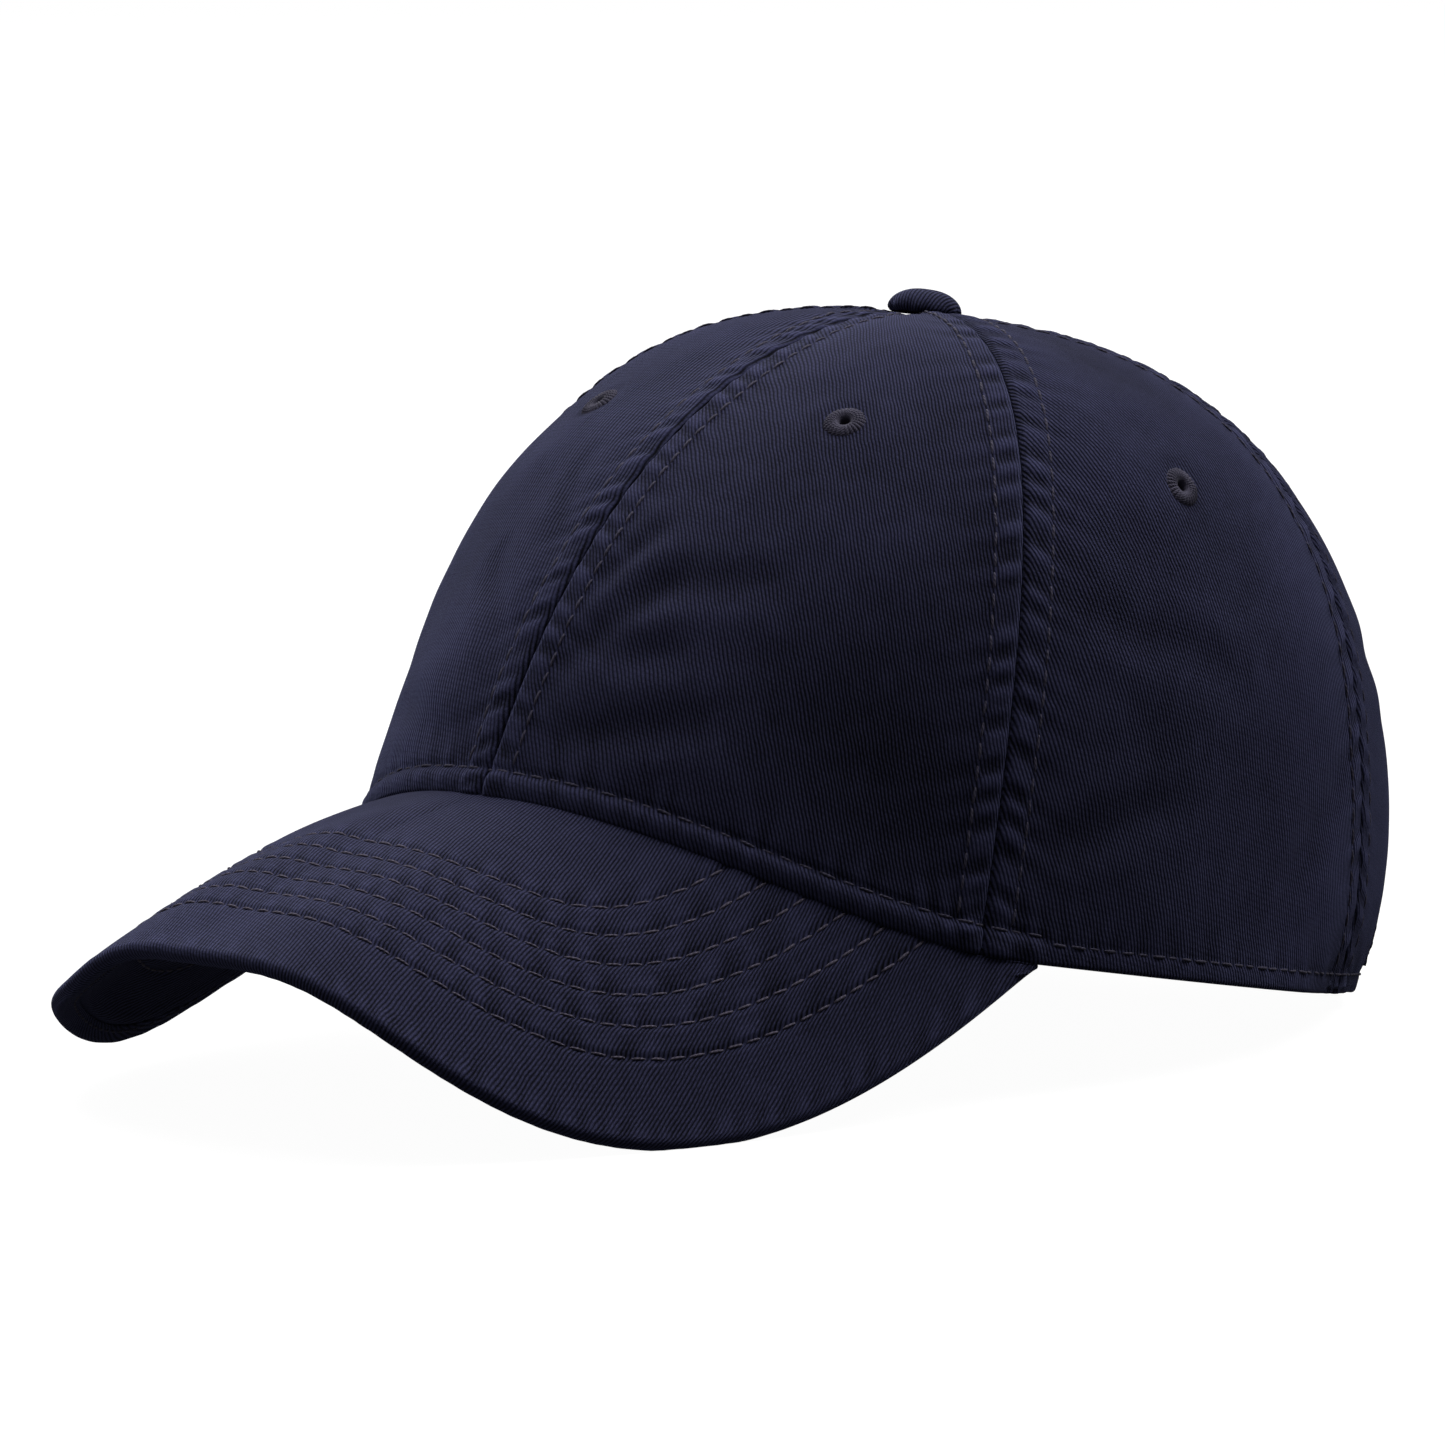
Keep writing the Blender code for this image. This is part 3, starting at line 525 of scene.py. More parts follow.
def twill(name, dark, light, pitch=TWILL_PITCH, lean=TWILL_LEAN, depth=0.00016, wear=True, source="UV"):
    """Washed twill: slanting wales of short floats, paler on their crowns with painted shade between them,
    paler where faded by washing and rubbing and where highlights are painted, darker where shade is painted.

    Across the wales the height is a cosine; along them each float is a cosine whose phase steps from one
    wale to the next, as the weave does. Noise of three sizes bends the wales and mottles the dye.
    """
    finish = Finish(name)
    where = finish.place(source)
    body = finish.place("Object")
    drift = finish.noise(finish.turned(where, 1 / (pitch * 7)), 1.0, 1.0)
    x, y, _ = finish.split(finish.turned(where, 1 / pitch, math.radians(lean)))
    x = finish.math("ADD", x, finish.math("MULTIPLY_ADD", drift, 0.9, -0.45))
    wale = finish.math("POWER", wave(finish, x), 0.75)
    step = finish.math("MULTIPLY", finish.math("ROUND", x), 0.37)
    run = finish.math("ADD", finish.math("MULTIPLY", y, 0.62), step)
    float_shape = finish.math("POWER", wave(finish, run), 0.6)
    yarn = finish.noise(finish.turned(where, 1 / (pitch * 0.55)), 1.0, 2.0, 0.6)
    grain = finish.noise(finish.turned(where, 1 / (pitch * 0.24)), 1.0, 1.0, 0.6)
    # The colour follows this weave height. The paler crowns are partly the yarn's own tone and partly painted
    # light. The dark gaps between wales are painted shade of the weave's relief. The fine grain adds specks
    # that partly stand for painted glints of the fibres.
    raised = finish.math("MULTIPLY", wale, finish.math("MULTIPLY_ADD", float_shape, 0.24, 0.76))
    raised = finish.math("MULTIPLY", raised, finish.math("MULTIPLY_ADD", yarn, 0.9, 0.55))
    shade = finish.math("MULTIPLY_ADD", raised, 0.90, -0.02)
    shade = finish.math("ADD", shade, finish.math("MULTIPLY_ADD", grain, 1.10, -0.55))
    cloud = finish.noise(finish.turned(body, 1 / 0.020), 1.0, 3.0, 0.6)
    streak = finish.noise(finish.turned(body, 1 / 0.0035), 1.0, 2.0, 0.6)
    shade = finish.math("ADD", shade, finish.math("MULTIPLY_ADD", cloud, 0.30, -0.15))
    shade = finish.math("ADD", shade, finish.math("MULTIPLY_ADD", streak, 0.30, -0.15))
    # The attribute read here is paler on pucker crests and darker in seam grooves and dents: partly fading
    # from washing and rubbing, partly painted highlight and painted shade.
    if wear:
        rubbing_and_painted_light = finish.node("ShaderNodeAttribute", attribute_name="wear", output="Fac")
        shade = finish.math("ADD", shade, finish.math("MULTIPLY_ADD", rubbing_and_painted_light, 1.3, -0.65))
    shade = finish.math("MAXIMUM", finish.math("MINIMUM", shade, 1.4), 0.0)
    colour = finish.mix(shade, dark, light)
    colour.node.clamp_factor = False
    scattered = finish.turned(body, 1 / FLECK_SPACING)
    specks = finish.node("ShaderNodeTexVoronoi", {"Vector": scattered}, output="Distance")
    fleck = finish.math("LESS_THAN", specks, 0.035)
    rare = finish.math("GREATER_THAN", finish.noise(finish.turned(body, 1 / 0.009), 1.0, 0.0), 0.55)
    fleck = finish.math("MULTIPLY", finish.math("MULTIPLY", fleck, rare), 0.35)
    finish.put(finish.shader.inputs["Base Color"], finish.mix(fleck, colour, (0.16, 0.16, 0.20)))
    finish.bump(raised, depth)
    finish.set(Roughness=0.93, Specular_IOR_Level=0.08, Sheen_Weight=0.22, Sheen_Roughness=0.30)
    return finish.set(Sheen_Tint=(0.36, 0.39, 0.80, 1)).material


def thread(name, dark, light):
    """Spun thread: plies that wind round it, read from its own map of length and turn."""
    finish = Finish(name)
    x, y, _ = finish.split(finish.place("UV"))
    winding = finish.math("ADD", finish.math("MULTIPLY", x, 1 / PLY_LENGTH), finish.math("MULTIPLY", y, 2))
    ply = wave(finish, winding)
    tint = finish.noise(finish.turned(finish.place("Object"), 1 / 0.004), 1.0, 2.0)
    shade = finish.math("ADD", finish.math("MULTIPLY", ply, 0.5), finish.math("MULTIPLY", tint, 0.5))
    finish.put(finish.shader.inputs["Base Color"], finish.mix(shade, dark, light))
    finish.bump(ply, 0.00006)
    return finish.set(Roughness=0.8, Specular_IOR_Level=0.15, Sheen_Weight=0.05, Sheen_Roughness=0.4).material


def metal(name, colour, worn, roughness, scratch=0.00002):
    """Plated metal: cloudy patina, fine scratches and a grain in its roughness."""
    finish = Finish(name)
    body = finish.place("Object")
    patina = finish.noise(finish.turned(body, 1 / 0.0035), 1.0, 4.0, 0.65)
    stretched = {"Vector": body, "Scale": (500, 2600, 2600), "Rotation": (0.3, 0.2, 0.5)}
    grain = finish.noise(finish.node("ShaderNodeMapping", stretched), 1.0, 3.0)
    finish.put(finish.shader.inputs["Base Color"], finish.mix(patina, colour, worn))
    uneven = finish.math("MULTIPLY_ADD", grain, 0.25, roughness - 0.12)
    finish.put(finish.shader.inputs["Roughness"], uneven)
    finish.bump(grain, scratch)
    return finish.set(Metallic=1.0).material


def fibrous(name, dark, light, size, depth, roughness=0.9, sheen=0.2):
    """Felt or moulded board: noise of two sizes in colour and height."""
    finish = Finish(name)
    body = finish.place("Object")
    fine = finish.noise(finish.turned(body, 1 / size), 1.0, 4.0, 0.7)
    broad = finish.noise(finish.turned(body, 1 / (size * 14)), 1.0, 2.0)
    share = finish.math("MULTIPLY_ADD", broad, 0.5, finish.math("MULTIPLY", fine, 0.5))
    finish.put(finish.shader.inputs["Base Color"], finish.mix(share, dark, light))
    finish.bump(fine, depth)
    return finish.set(Roughness=roughness, Sheen_Weight=sheen).material


NAVY_DARK, NAVY_LIGHT = (0.0012, 0.0013, 0.0034), (0.0385, 0.0400, 0.0900)
WASHED = twill("washed_navy_twill", NAVY_DARK, NAVY_LIGHT)
LINING = twill(
    "band_cotton_twill", (0.007, 0.0075, 0.015), (0.034, 0.036, 0.064),
    pitch=0.0005, lean=-35, depth=0.00008, wear=False,
)
TAPING = twill(
    "bias_tape_weave", (0.006, 0.0065, 0.013), (0.030, 0.032, 0.058),
    pitch=0.00042, lean=45, depth=0.00007, wear=False,
)
THREAD = thread("navy_thread", (0.020, 0.019, 0.033), (0.066, 0.060, 0.098))
BRIM_THREAD = thread("brim_thread", (0.032, 0.028, 0.042), (0.105, 0.092, 0.135))
BRASS = metal("antique_brass", (0.30, 0.20, 0.095), (0.62, 0.47, 0.27), 0.34)
STEEL = metal("zinc_plated_steel", (0.42, 0.43, 0.44), (0.66, 0.67, 0.68), 0.36)
FELT = fibrous("pale_felt", (0.42, 0.42, 0.41), (0.66, 0.66, 0.64), 0.0006, 0.00025)
BOARD = fibrous("moulded_board", (0.62, 0.62, 0.59), (0.80, 0.80, 0.76), 0.0012, 0.00006, 0.5, 0.0)


def satin():
    """Woven satin label: fine shining floats, off-white."""
    finish = Finish("label_satin_weave")
    x, y, _ = finish.split(finish.turned(finish.place("UV"), 1 / 0.00032))
    yarn = finish.math("MULTIPLY", wave(finish, x), finish.math("MULTIPLY_ADD", wave(finish, y), 0.3, 0.7))
    finish.put(finish.shader.inputs["Base Color"], finish.mix(yarn, (0.60, 0.60, 0.57), (0.86, 0.86, 0.83)))
    finish.bump(yarn, 0.00003)
    return finish.set(Roughness=0.42, Sheen_Weight=0.3).material


SATIN = satin()


# ---------------------------------------------------------------- putting arrays into meshes


def make_mesh(name, points, quads, finish, body="cap", uv=None, wear=None):
    """Points in the cap's frame and quads into an object in the room that rides on a body.

    Cloth that would reach below the table lies flat on it: z is at least TABLE_GAP.
    """
    mesh = bpy.data.meshes.new(name)
    spots = in_room(points.reshape(-1, 3))
    spots[:, 2] = np.maximum(spots[:, 2], TABLE_GAP)
    mesh.from_pydata(spots.tolist(), [], np.asarray(quads).tolist())
    if uv is not None:
        loops = np.zeros(len(mesh.loops), np.int32)
        mesh.loops.foreach_get("vertex_index", loops)
        layer = mesh.uv_layers.new(name="UVMap")
        layer.uv.foreach_set("vector", uv.reshape(-1, 2)[loops].astype(np.float32).ravel())
    if wear is not None:
        layer = mesh.attributes.new("wear", "FLOAT", "POINT")
        layer.data.foreach_set("value", wear.astype(np.float32).ravel())
    mesh.materials.append(finish)
    mesh.shade_smooth()
    mesh.validate()
    obj = bpy.data.objects.new(name, mesh)
    bpy.context.scene.collection.objects.link(obj)
    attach(obj, body)
    return obj


def grid_quads(rows, cols, round_rows=False, round_cols=False):
    """Quads of a grid, joined to itself where a direction closes. Rows go up and columns to the left."""
    index = np.arange(rows * cols).reshape(rows, cols)
    if round_cols:
        index = np.concatenate([index, index[:, :1]], 1)
    if round_rows:
        index = np.concatenate([index, index[:1]], 0)
    corners = [index[:-1, :-1], index[:-1, 1:], index[1:, 1:], index[1:, :-1]]
    return np.stack(corners, -1).reshape(-1, 4)


def thicken(obj, thickness, offset=-1.0):
    """Gives an open sheet its thickness, on the side away from its normals."""
    solid = obj.modifiers.new("thickness", "SOLIDIFY")
    solid.thickness = thickness
    solid.offset = offset
    solid.use_even_offset = False
    return obj


def lengths(points, axis):
    """Running length along an axis of a grid."""
    step = np.linalg.norm(np.diff(points, axis=axis), axis=-1)
    return np.concatenate([np.zeros_like(np.take(step, [0], axis)), np.cumsum(step, axis)], axis)


def cloth_sheet(name, points, finish, thickness, nodes, slot, flat, body="cap", **more):
    """A grid of points as a sheet of cloth that stands for CAD nodes."""
    uv = more.pop("uv", None)
    if uv is None:
        uv = np.stack([lengths(points, 1), lengths(points, 0)], -1)
    wear = more.pop("wear", None)
    keep = more.pop("keep", None)
    quads = grid_quads(*points.shape[:2])
    if keep is not None:
        quads = quads[keep.ravel()]
    if wear is None:
        wear = np.full(points.shape[:2], 0.5)
    obj = make_mesh(name, points, quads, finish, body, uv, wear)
    thicken(obj, thickness)
    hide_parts(*nodes)
    return obj


# ---------------------------------------------------------------- stitches

THREAD_SHAPE = ((-1.0, 0.30), (-0.82, 0.78), (-0.35, 1.0), (0.35, 1.0), (0.82, 0.78), (1.0, 0.30))
THREAD_SIDES = 6


def evenly(points, normals, pitch):
    """Places at an even pitch along a line, with the direction and the normal there."""
    way = lengths(points, 0)
    count = max(int(way[-1] / pitch), 1)
    spots = (np.arange(count) + 0.5) * way[-1] / count
    place = np.stack([np.interp(spots, way, points[:, k]) for k in range(3)], -1)
    normal = unit(np.stack([np.interp(spots, way, normals[:, k]) for k in range(3)], -1))
    ahead = np.stack([np.interp(spots + 4e-4, way, points[:, k]) for k in range(3)], -1)
    behind = np.stack([np.interp(spots - 4e-4, way, points[:, k]) for k in range(3)], -1)
    return place, unit(ahead - behind), normal


def sew(name, rows, finish=None, body="cap", radius=THREAD_RADIUS, length=STITCH_LENGTH, pitch=STITCH_PITCH):
    """Rows of stitches. Each is a short thread, thin at its ends, that arches out of the cloth."""
    found = [evenly(points, normals, pitch) for points, normals in rows if len(points) > 2]
    place, along, normal = (np.concatenate([f[k] for f in found]) for k in range(3))
    rng = np.random.default_rng(len(place))
    side = unit(np.cross(normal, along))
    normal = np.cross(along, side)
    lean = rng.normal(0, 0.045, (len(place), 1))
    along, side = unit(along + lean * side), unit(side - lean * along)
    size = rng.uniform(0.92, 1.08, (len(place), 1, 1))
    shape = np.array(THREAD_SHAPE)
    turn = np.arange(THREAD_SIDES) / THREAD_SIDES * 2 * math.pi
    x = (shape[:, 0] * length / 2)[:, None] + 0 * turn
    y = shape[:, 1][:, None] * radius * 1.15 * np.cos(turn)
    z = shape[:, 1][:, None] * radius * np.sin(turn) - (radius * 1.5 * shape[:, 0] ** 4)[:, None]
    local = np.stack([x.ravel(), y.ravel(), z.ravel()], -1)
    points = place[:, None] + size * (
        local[None, :, :1] * along[:, None]
        + local[None, :, 1:2] * side[:, None]
        + local[None, :, 2:] * normal[:, None]
    )
    rings = len(shape)
    one = grid_quads(rings, THREAD_SIDES, round_cols=True)[:, ::-1]
    last_ring = (rings - 1) * THREAD_SIDES
    ends = [tuple(range(THREAD_SIDES)), tuple(range(last_ring, last_ring + THREAD_SIDES))[::-1]]
    many = (np.arange(len(place)) * len(local))[:, None, None] + one
    faces = many.reshape(-1, 4).tolist()
    for end in ends:
        faces += ((np.arange(len(place)) * len(local))[:, None] + np.array(end)).tolist()
    mesh = bpy.data.meshes.new(name)
    mesh.from_pydata(in_room(points.reshape(-1, 3)).tolist(), [], faces)
    loops = np.zeros(len(mesh.loops), np.int32)
    mesh.loops.foreach_get("vertex_index", loops)
    offset = rng.uniform(0, 0.01, len(place))
    u = (x.ravel()[None] + offset[:, None]).ravel()
    v = np.tile(((0 * shape[:, :1]) + turn / (2 * math.pi)).ravel(), len(place))
    layer = mesh.uv_layers.new(name="UVMap")
    layer.uv.foreach_set("vector", np.stack([u, v], -1)[loops].astype(np.float32).ravel())
    mesh.materials.append(finish or THREAD)
    mesh.shade_smooth()
    obj = bpy.data.objects.new(name, mesh)
    bpy.context.scene.collection.objects.link(obj)
    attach(obj, body)
    return obj


# ---------------------------------------------------------------- panels

DENSE_EDGE = 0.16
EDGE_COLUMNS = 30
MIDDLE_COLUMNS = 34
PANEL_ROWS = 236


def panel_columns():
    """Shares across a panel, close together beside its two seams."""
    edge = np.linspace(0, DENSE_EDGE, EDGE_COLUMNS, endpoint=False)
    middle = np.linspace(DENSE_EDGE, 1 - DENSE_EDGE, MIDDLE_COLUMNS, endpoint=False)
    return np.concatenate([edge, middle, 1 - edge[::-1]])


def panel_sides(place, rise):
    """Angle and height share of a panel's front and rear edges at each share of its way up."""
    if place == "front":
        first, last = SEAMS["front"], SEAMS["side"]
    elif place == "side":
        first, last = SEAMS["side"], SEAMS["rear"]
    else:
        first, last = SEAMS["rear"], SEAMS["back"]
    top = [up_at_radius(seam_angle(s, np.ones_like(rise)), TOP_HOLE) for s in (first, last)]
    front, front_up = seam_angle(first, rise), rise * top[0]
    if place != "back":
        return front, front_up, seam_angle(last, rise), rise * top[1]
    turn = np.linspace(0, math.pi / 2, 200)
    x, z = arch_outline(0.0, turn)
    leg = np.linspace(0, ARCH_LEG, 20, endpoint=False)
    x, z = np.concatenate([np.full(20, ARCH_HALF), x]), np.concatenate([leg, z])
    angle = back_angle(x, z)
    angle[-1] = math.pi
    share = fraction(angle, z)
    seam_up = np.linspace(share[-1], top[1][-1], 200)
    angle = np.concatenate([angle, np.full(200, math.pi)])
    share = np.concatenate([share, seam_up])
    way = lengths(crown(angle, share), 0)
    way /= way[-1]
    return front, front_up, np.interp(rise, way, angle), np.interp(rise, way, share)


def panel_uv(theta, up, middle):
    """Cloth coordinates: metres across from the panel's middle line, and metres up from its hem."""
    _, _, _, speed = crown_frame(theta, up)
    return np.stack([(theta - middle) * speed, climb(theta, up)], -1)


def hung_below(first, drop):
    """Cloth map of rows that hang below a panel's first row, each lower by its drop."""
    return first[None] - np.stack([0 * drop, drop], -1)


def make_panels():
    """Six gores. Each comes up from inside the hem, turns round its fold and goes up to the button."""
    rise = np.linspace(0, 1, PANEL_ROWS) ** 1.02
    columns = panel_columns()
    for place in ("front", "side", "back"):
        front, front_up, rear, rear_up = panel_sides(place, rise)
        for side, sign in (("left", 1), ("right", -1)):
            share = columns if sign > 0 else columns[::-1]
            theta = sign * (front[:, None] + (rear - front)[:, None] * share)
            up = front_up[:, None] + (rear_up - front_up)[:, None] * share
            _, _, _, speed = crown_frame(theta, up)
            inset = 0.00008 / np.maximum(speed, 0.002)
            theta = theta + inset * np.linspace(1, -1, len(columns))
            start = up_for_climb(theta[0], FOLD_RADIUS)
            up = up + (1 - rise)[:, None] ** 6 * start
            outer, normal, tangent, speed = crown_frame(theta, up)
            height, pucker = relief(theta, up)
            surface = outer + normal * height[..., None]
            fold = np.linspace(math.pi, 0, 9)[:-1, None, None]
            base, out, rising = surface[0], normal[0], tangent[0]
            bent = base - out * FOLD_RADIUS * (1 - np.cos(fold)) - rising * FOLD_RADIUS * np.sin(fold)
            reach = np.linspace(HEM_FLAP, 0, 10)[:-1, None, None]
            flap_up = start + up_for_climb(theta[0], 1.0) * reach[..., 0]
            inner, inward, _, _ = crown_frame(theta[0] + 0 * flap_up, flap_up)
            sunk, _ = relief(theta[0] + 0 * flap_up, flap_up)
            spare = smooth(reach[..., 0] / 0.003)
            sunk = height[0] + (np.minimum(sunk, height[0]) - height[0]) * spare
            flap = inner - inward * (2 * FOLD_RADIUS - sunk)[..., None]
            points = np.concatenate([flap, bent, surface])
            extra = len(points) - len(surface)
            middle = sign * math.radians(sum(EYELETS[place][:1]))
            uv = panel_uv(theta, up, middle)
            below = hung_below(uv[0], reach[..., 0] + math.pi * FOLD_RADIUS + 0 * theta[:1])
            turn = hung_below(uv[0], fold[..., 0] * FOLD_RADIUS + 0 * theta[:1])
            uv = np.concatenate([below, turn, uv])
            # Paler on pucker crests and raised cloth, darker in seam grooves, creases and dents: partly
            # fading from washing and rubbing, partly painted highlight and painted shade.
            worn = np.clip(0.5 + pucker / 0.0010 + np.minimum(height - pucker, 0.0003) / 0.006, 0, 1)
            wear = np.concatenate([np.full((extra, len(columns)), 0.5), worn])
            spot = crown(np.array(sign * math.radians(EYELETS[place][0])), np.array(EYELETS[place][1]))
            centre = (points[1:, 1:] + points[:-1, :-1]) / 2
            keep = np.linalg.norm(centre - spot, axis=-1) > 0.0023
            name = f"{place}_panel_{side}"
            width = float(np.ptp(uv[..., 0]))
            length = float(np.ptp(uv[..., 1]))
            rests = ["sweatband"] if place != "back" else ["closure_strap"]
            cloth_sheet(
                f"{name}_twill", points, WASHED, CLOTH, [name], "washed_twill", (width, length),
                uv=uv, wear=wear, keep=keep, rests_on=rests,
            )


def make_crown_stitches():
    """Double needle rows beside the seams, and the rows of the hem, brim seam and back opening."""
    rows = []
    for name, sign, seam in seam_lines():
        low = {"front": 0.0058, "side": 0.0056, "rear": 0.0046, "back": 0.0}[name]
        top = float(up_at_radius(np.array(sign * seam_angle(seam, 1.0)), 0.0080))
        foot = np.array(sign * math.radians(seam[0]))
        first = float(up_for_climb(foot, low))
        if name == "back":
            first = float(fraction(np.array(math.pi), np.array(ARCH_HEIGHT + ARCH_ROW + 0.0015)))
        up = np.linspace(first, top, 260)
        line = sign * seam_angle(seam, up)
        _, _, _, speed = crown_frame(line, up)
        for side in (1, -1):
            rows.append(skin(line + side * row_offset(speed) / speed, up, STITCH_LIFT))
    theta = np.radians(np.linspace(-BRIM_ANGLE, BRIM_ANGLE, 500))
    rows.append(skin(theta, up_for_climb(theta, BEAD_ROW), STITCH_LIFT))
    foot = float(np.degrees(back_angle(np.array(ARCH_HALF + ARCH_ROW), np.array(HEM_ROW))))
    for sign in (1, -1):
        theta = sign * np.radians(np.linspace(BRIM_ANGLE + 1, foot, 300))
        rows.append(skin(theta, up_for_climb(theta, HEM_ROW), STITCH_LIFT))
    turn = np.linspace(0, math.pi, 300)
    x, z = arch_outline(ARCH_ROW, turn)
    legs = np.linspace(HEM_ROW, ARCH_LEG, 30, endpoint=False)
    x = np.concatenate([[ARCH_HALF + ARCH_ROW] * 30, x, [-ARCH_HALF - ARCH_ROW] * 30])
    z = np.concatenate([legs, z, legs[::-1]])
    theta = back_angle(x, z)
    rows.append(skin(theta, fraction(theta, z), STITCH_LIFT))
    sew("crown_topstitching", rows)


# ---------------------------------------------------------------- eyelets and button

EYELET_PROFILE = (
    (0.95, -0.60), (0.98, 0.10), (1.30, 0.55), (1.95, 0.80), (2.65, 0.78), (3.25, 0.50), (3.70, 0.10),
    (3.80, -0.20), (3.30, -0.35), (1.60, -0.35), (1.35, -0.70), (1.35, -1.10), (1.60, -1.40), (3.20, -1.40),
    (3.35, -1.70), (2.60, -1.95), (1.60, -1.95), (1.00, -1.60),
)
EYELET_THREADS = 26


def frame_at(point, normal, along=(0, 0, 1)):
    """Three directions: the third on the normal, the second as near as it can be to a direction."""
    z = unit(np.asarray(normal, float))
    x = unit(np.cross(np.asarray(along, float), z))
    return np.asarray(point, float), x, np.cross(z, x), z


def turned_shape(profile, spot, steps, change=None):
    """A profile of radius and height carried round an axis; change(radius, height, turn) may alter it."""
    turn = np.arange(steps) / steps * 2 * math.pi
    radius = np.array(profile, float)[:, :1] + 0 * turn
    height = np.array(profile, float)[:, 1:] + 0 * turn
    if change:
        radius, height = change(radius, height, turn + 0 * radius)
    centre, x, y, z = spot
    along = (radius * np.cos(turn))[..., None] * x + (radius * np.sin(turn))[..., None] * y
    return centre + along + height[..., None] * z


def make_eyelets():
    """Sewn eyelets: a bead of radial threads on both faces, joined through the hole."""

    def threads(radius, height, turn):
        ridge = np.abs(np.sin(turn * EYELET_THREADS / 2)) ** 0.6
        uneven = 0.06 * np.sin(turn * 5 + 1.3) + 0.05 * np.sin(turn * 9)
        outside = smooth((radius - 0.0011) / 0.0009)
        bulge = (ridge - 0.6) * 0.00022 * outside
        radius = radius + bulge * 0.6 + uneven * 0.0006 * smooth((radius - 0.003) / 0.0006)
        return radius, height + np.sign(height + 0.0008) * bulge

    profile = [(r * MM, z * MM) for r, z in EYELET_PROFILE]
    steps = EYELET_THREADS * 8
    for place, (angle, up) in EYELETS.items():
        for side, sign in (("left", 1), ("right", -1)):
            theta = np.array(sign * math.radians(angle))
            point, normal = skin(theta, np.array(up))
            points = turned_shape(profile, frame_at(point, normal), steps, threads)
            quads = grid_quads(len(profile), steps, round_rows=True, round_cols=True)
            turn = np.arange(steps) / steps
            run = np.linspace(0, 0.02, len(profile))[:, None]
            uv = np.stack([run + 0 * turn, turn * 13 + 0 * points[..., 0]], -1)
            obj = make_mesh(f"eyelet_{place}_{side}_sewn", points, quads[:, ::-1], THREAD, uv=uv)
            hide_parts(f"eyelet_{place}_{side}")


BUTTON_PROFILE = (
    (0.0, 4.60), (0.7, 4.58), (1.4, 4.52), (2.1, 4.42), (2.8, 4.28), (3.5, 4.08), (4.2, 3.82), (4.9, 3.45),
    (5.5, 3.02), (6.0, 2.52), (6.35, 2.0), (6.58, 1.45), (6.66, 0.95), (6.55, 0.50), (6.25, 0.15), (5.7, 0.0),
    (5.0, 0.05),
)


def make_button():
    """Cloth-covered button: a low dome of twill whose edge is gathered under it."""

    def gathers(radius, height, turn):
        low = smooth((0.0032 - height) / 0.0030) * smooth((radius - 0.003) / 0.003)
        folds = 0.00016 * (np.sin(turn * 11 + 0.7) + 0.7 * np.sin(turn * 17)) * low
        soft = 0.00010 * np.sin(turn * 3 + 0.4) * smooth(radius / 0.004)
        return radius + folds, height + soft

    steps = 96
    profile = [(r * MM, z * MM) for r, z in BUTTON_PROFILE]
    apex = (np.array([0, TOP_SHIFT, CROWN_HEIGHT - 0.0002]), np.eye(3)[0], np.eye(3)[1], np.eye(3)[2])
    points = turned_shape(profile[1:], apex, steps, gathers)
    rings = len(profile) - 1
    quads = grid_quads(rings, steps, round_cols=True)[:, ::-1]
    tip = apex[0] + np.array([0, 0, profile[0][1]])
    flat = np.concatenate([points.reshape(-1, 3), tip[None]])
    mesh_faces = quads.tolist()
    fan = [(k, (k + 1) % steps, len(flat) - 1) for k in range(steps)]
    run = lengths(np.array([(r, 0, z) for r, z in profile]), 0)[1:]
    turn = np.arange(steps) / steps * 2 * math.pi
    uv = np.stack([run[:, None] * np.cos(turn), run[:, None] * np.sin(turn)], -1).reshape(-1, 2)
    uv = np.concatenate([uv, [[0, 0]]])
    mesh = bpy.data.meshes.new("top_button_twill")
    mesh.from_pydata(in_room(flat).tolist(), [], mesh_faces + fan)
    loops = np.zeros(len(mesh.loops), np.int32)
    mesh.loops.foreach_get("vertex_index", loops)
    mesh.uv_layers.new(name="UVMap").uv.foreach_set("vector", uv[loops].astype(np.float32).ravel())
    shade = np.full(len(flat), 0.52, np.float32)
    mesh.attributes.new("wear", "FLOAT", "POINT").data.foreach_set("value", shade)
    mesh.materials.append(WASHED)
    mesh.shade_smooth()
    obj = bpy.data.objects.new("top_button_twill", mesh)
    bpy.context.scene.collection.objects.link(obj)
    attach(obj, "cap")
    thicken(obj, 0.0005)
    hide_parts("top_button_cover")


# ---------------------------------------------------------------- brim


def right_bow(u):
    """How far a share of the brim's edge is into its right side: 0 at the middle and the corner."""
    return np.sin(math.pi * np.clip(-u, 0, 1))


def brim_edge(u):
    """Outer edge of the brim's top face, seen from above a rounded half oval, with its sides low."""
    turn = np.abs(u) * math.pi / 2
    corner = crown(np.radians(BRIM_ANGLE), 0.0)
    wide = np.sin(turn)
    reach = np.clip(1 - wide ** BRIM_POWERS[0], 0, 1) ** BRIM_POWERS[1]
    tie = np.abs(u) ** 6
    x = np.sign(u) * (BRIM_HALF * wide * (1 - tie) + corner[0] * tie)
    y = corner[1] - (BRIM_REACH + corner[1]) * reach
    dip = np.sin(2 * turn) ** 2
    bow = right_bow(u)
    rise = sum(most * hump(u - place, width) for most, place, width in BRIM_CURL)
    z = rise * (1 - np.abs(u) ** 10) - BRIM_DROP * reach - dip * (BRIM_ARCH * wide**2 - 0.0025)
    return np.stack([x * (1 + BRIM_RIGHT[0] * bow), y + BRIM_RIGHT[1] * bow, z], -1)


def brim_root(u):
    """Where the brim's top face meets the crown."""
    theta = np.sign(u) * np.abs(u) ** BRIM_FAN * math.radians(BRIM_ANGLE)
    return crown(theta, 0.0 * theta)


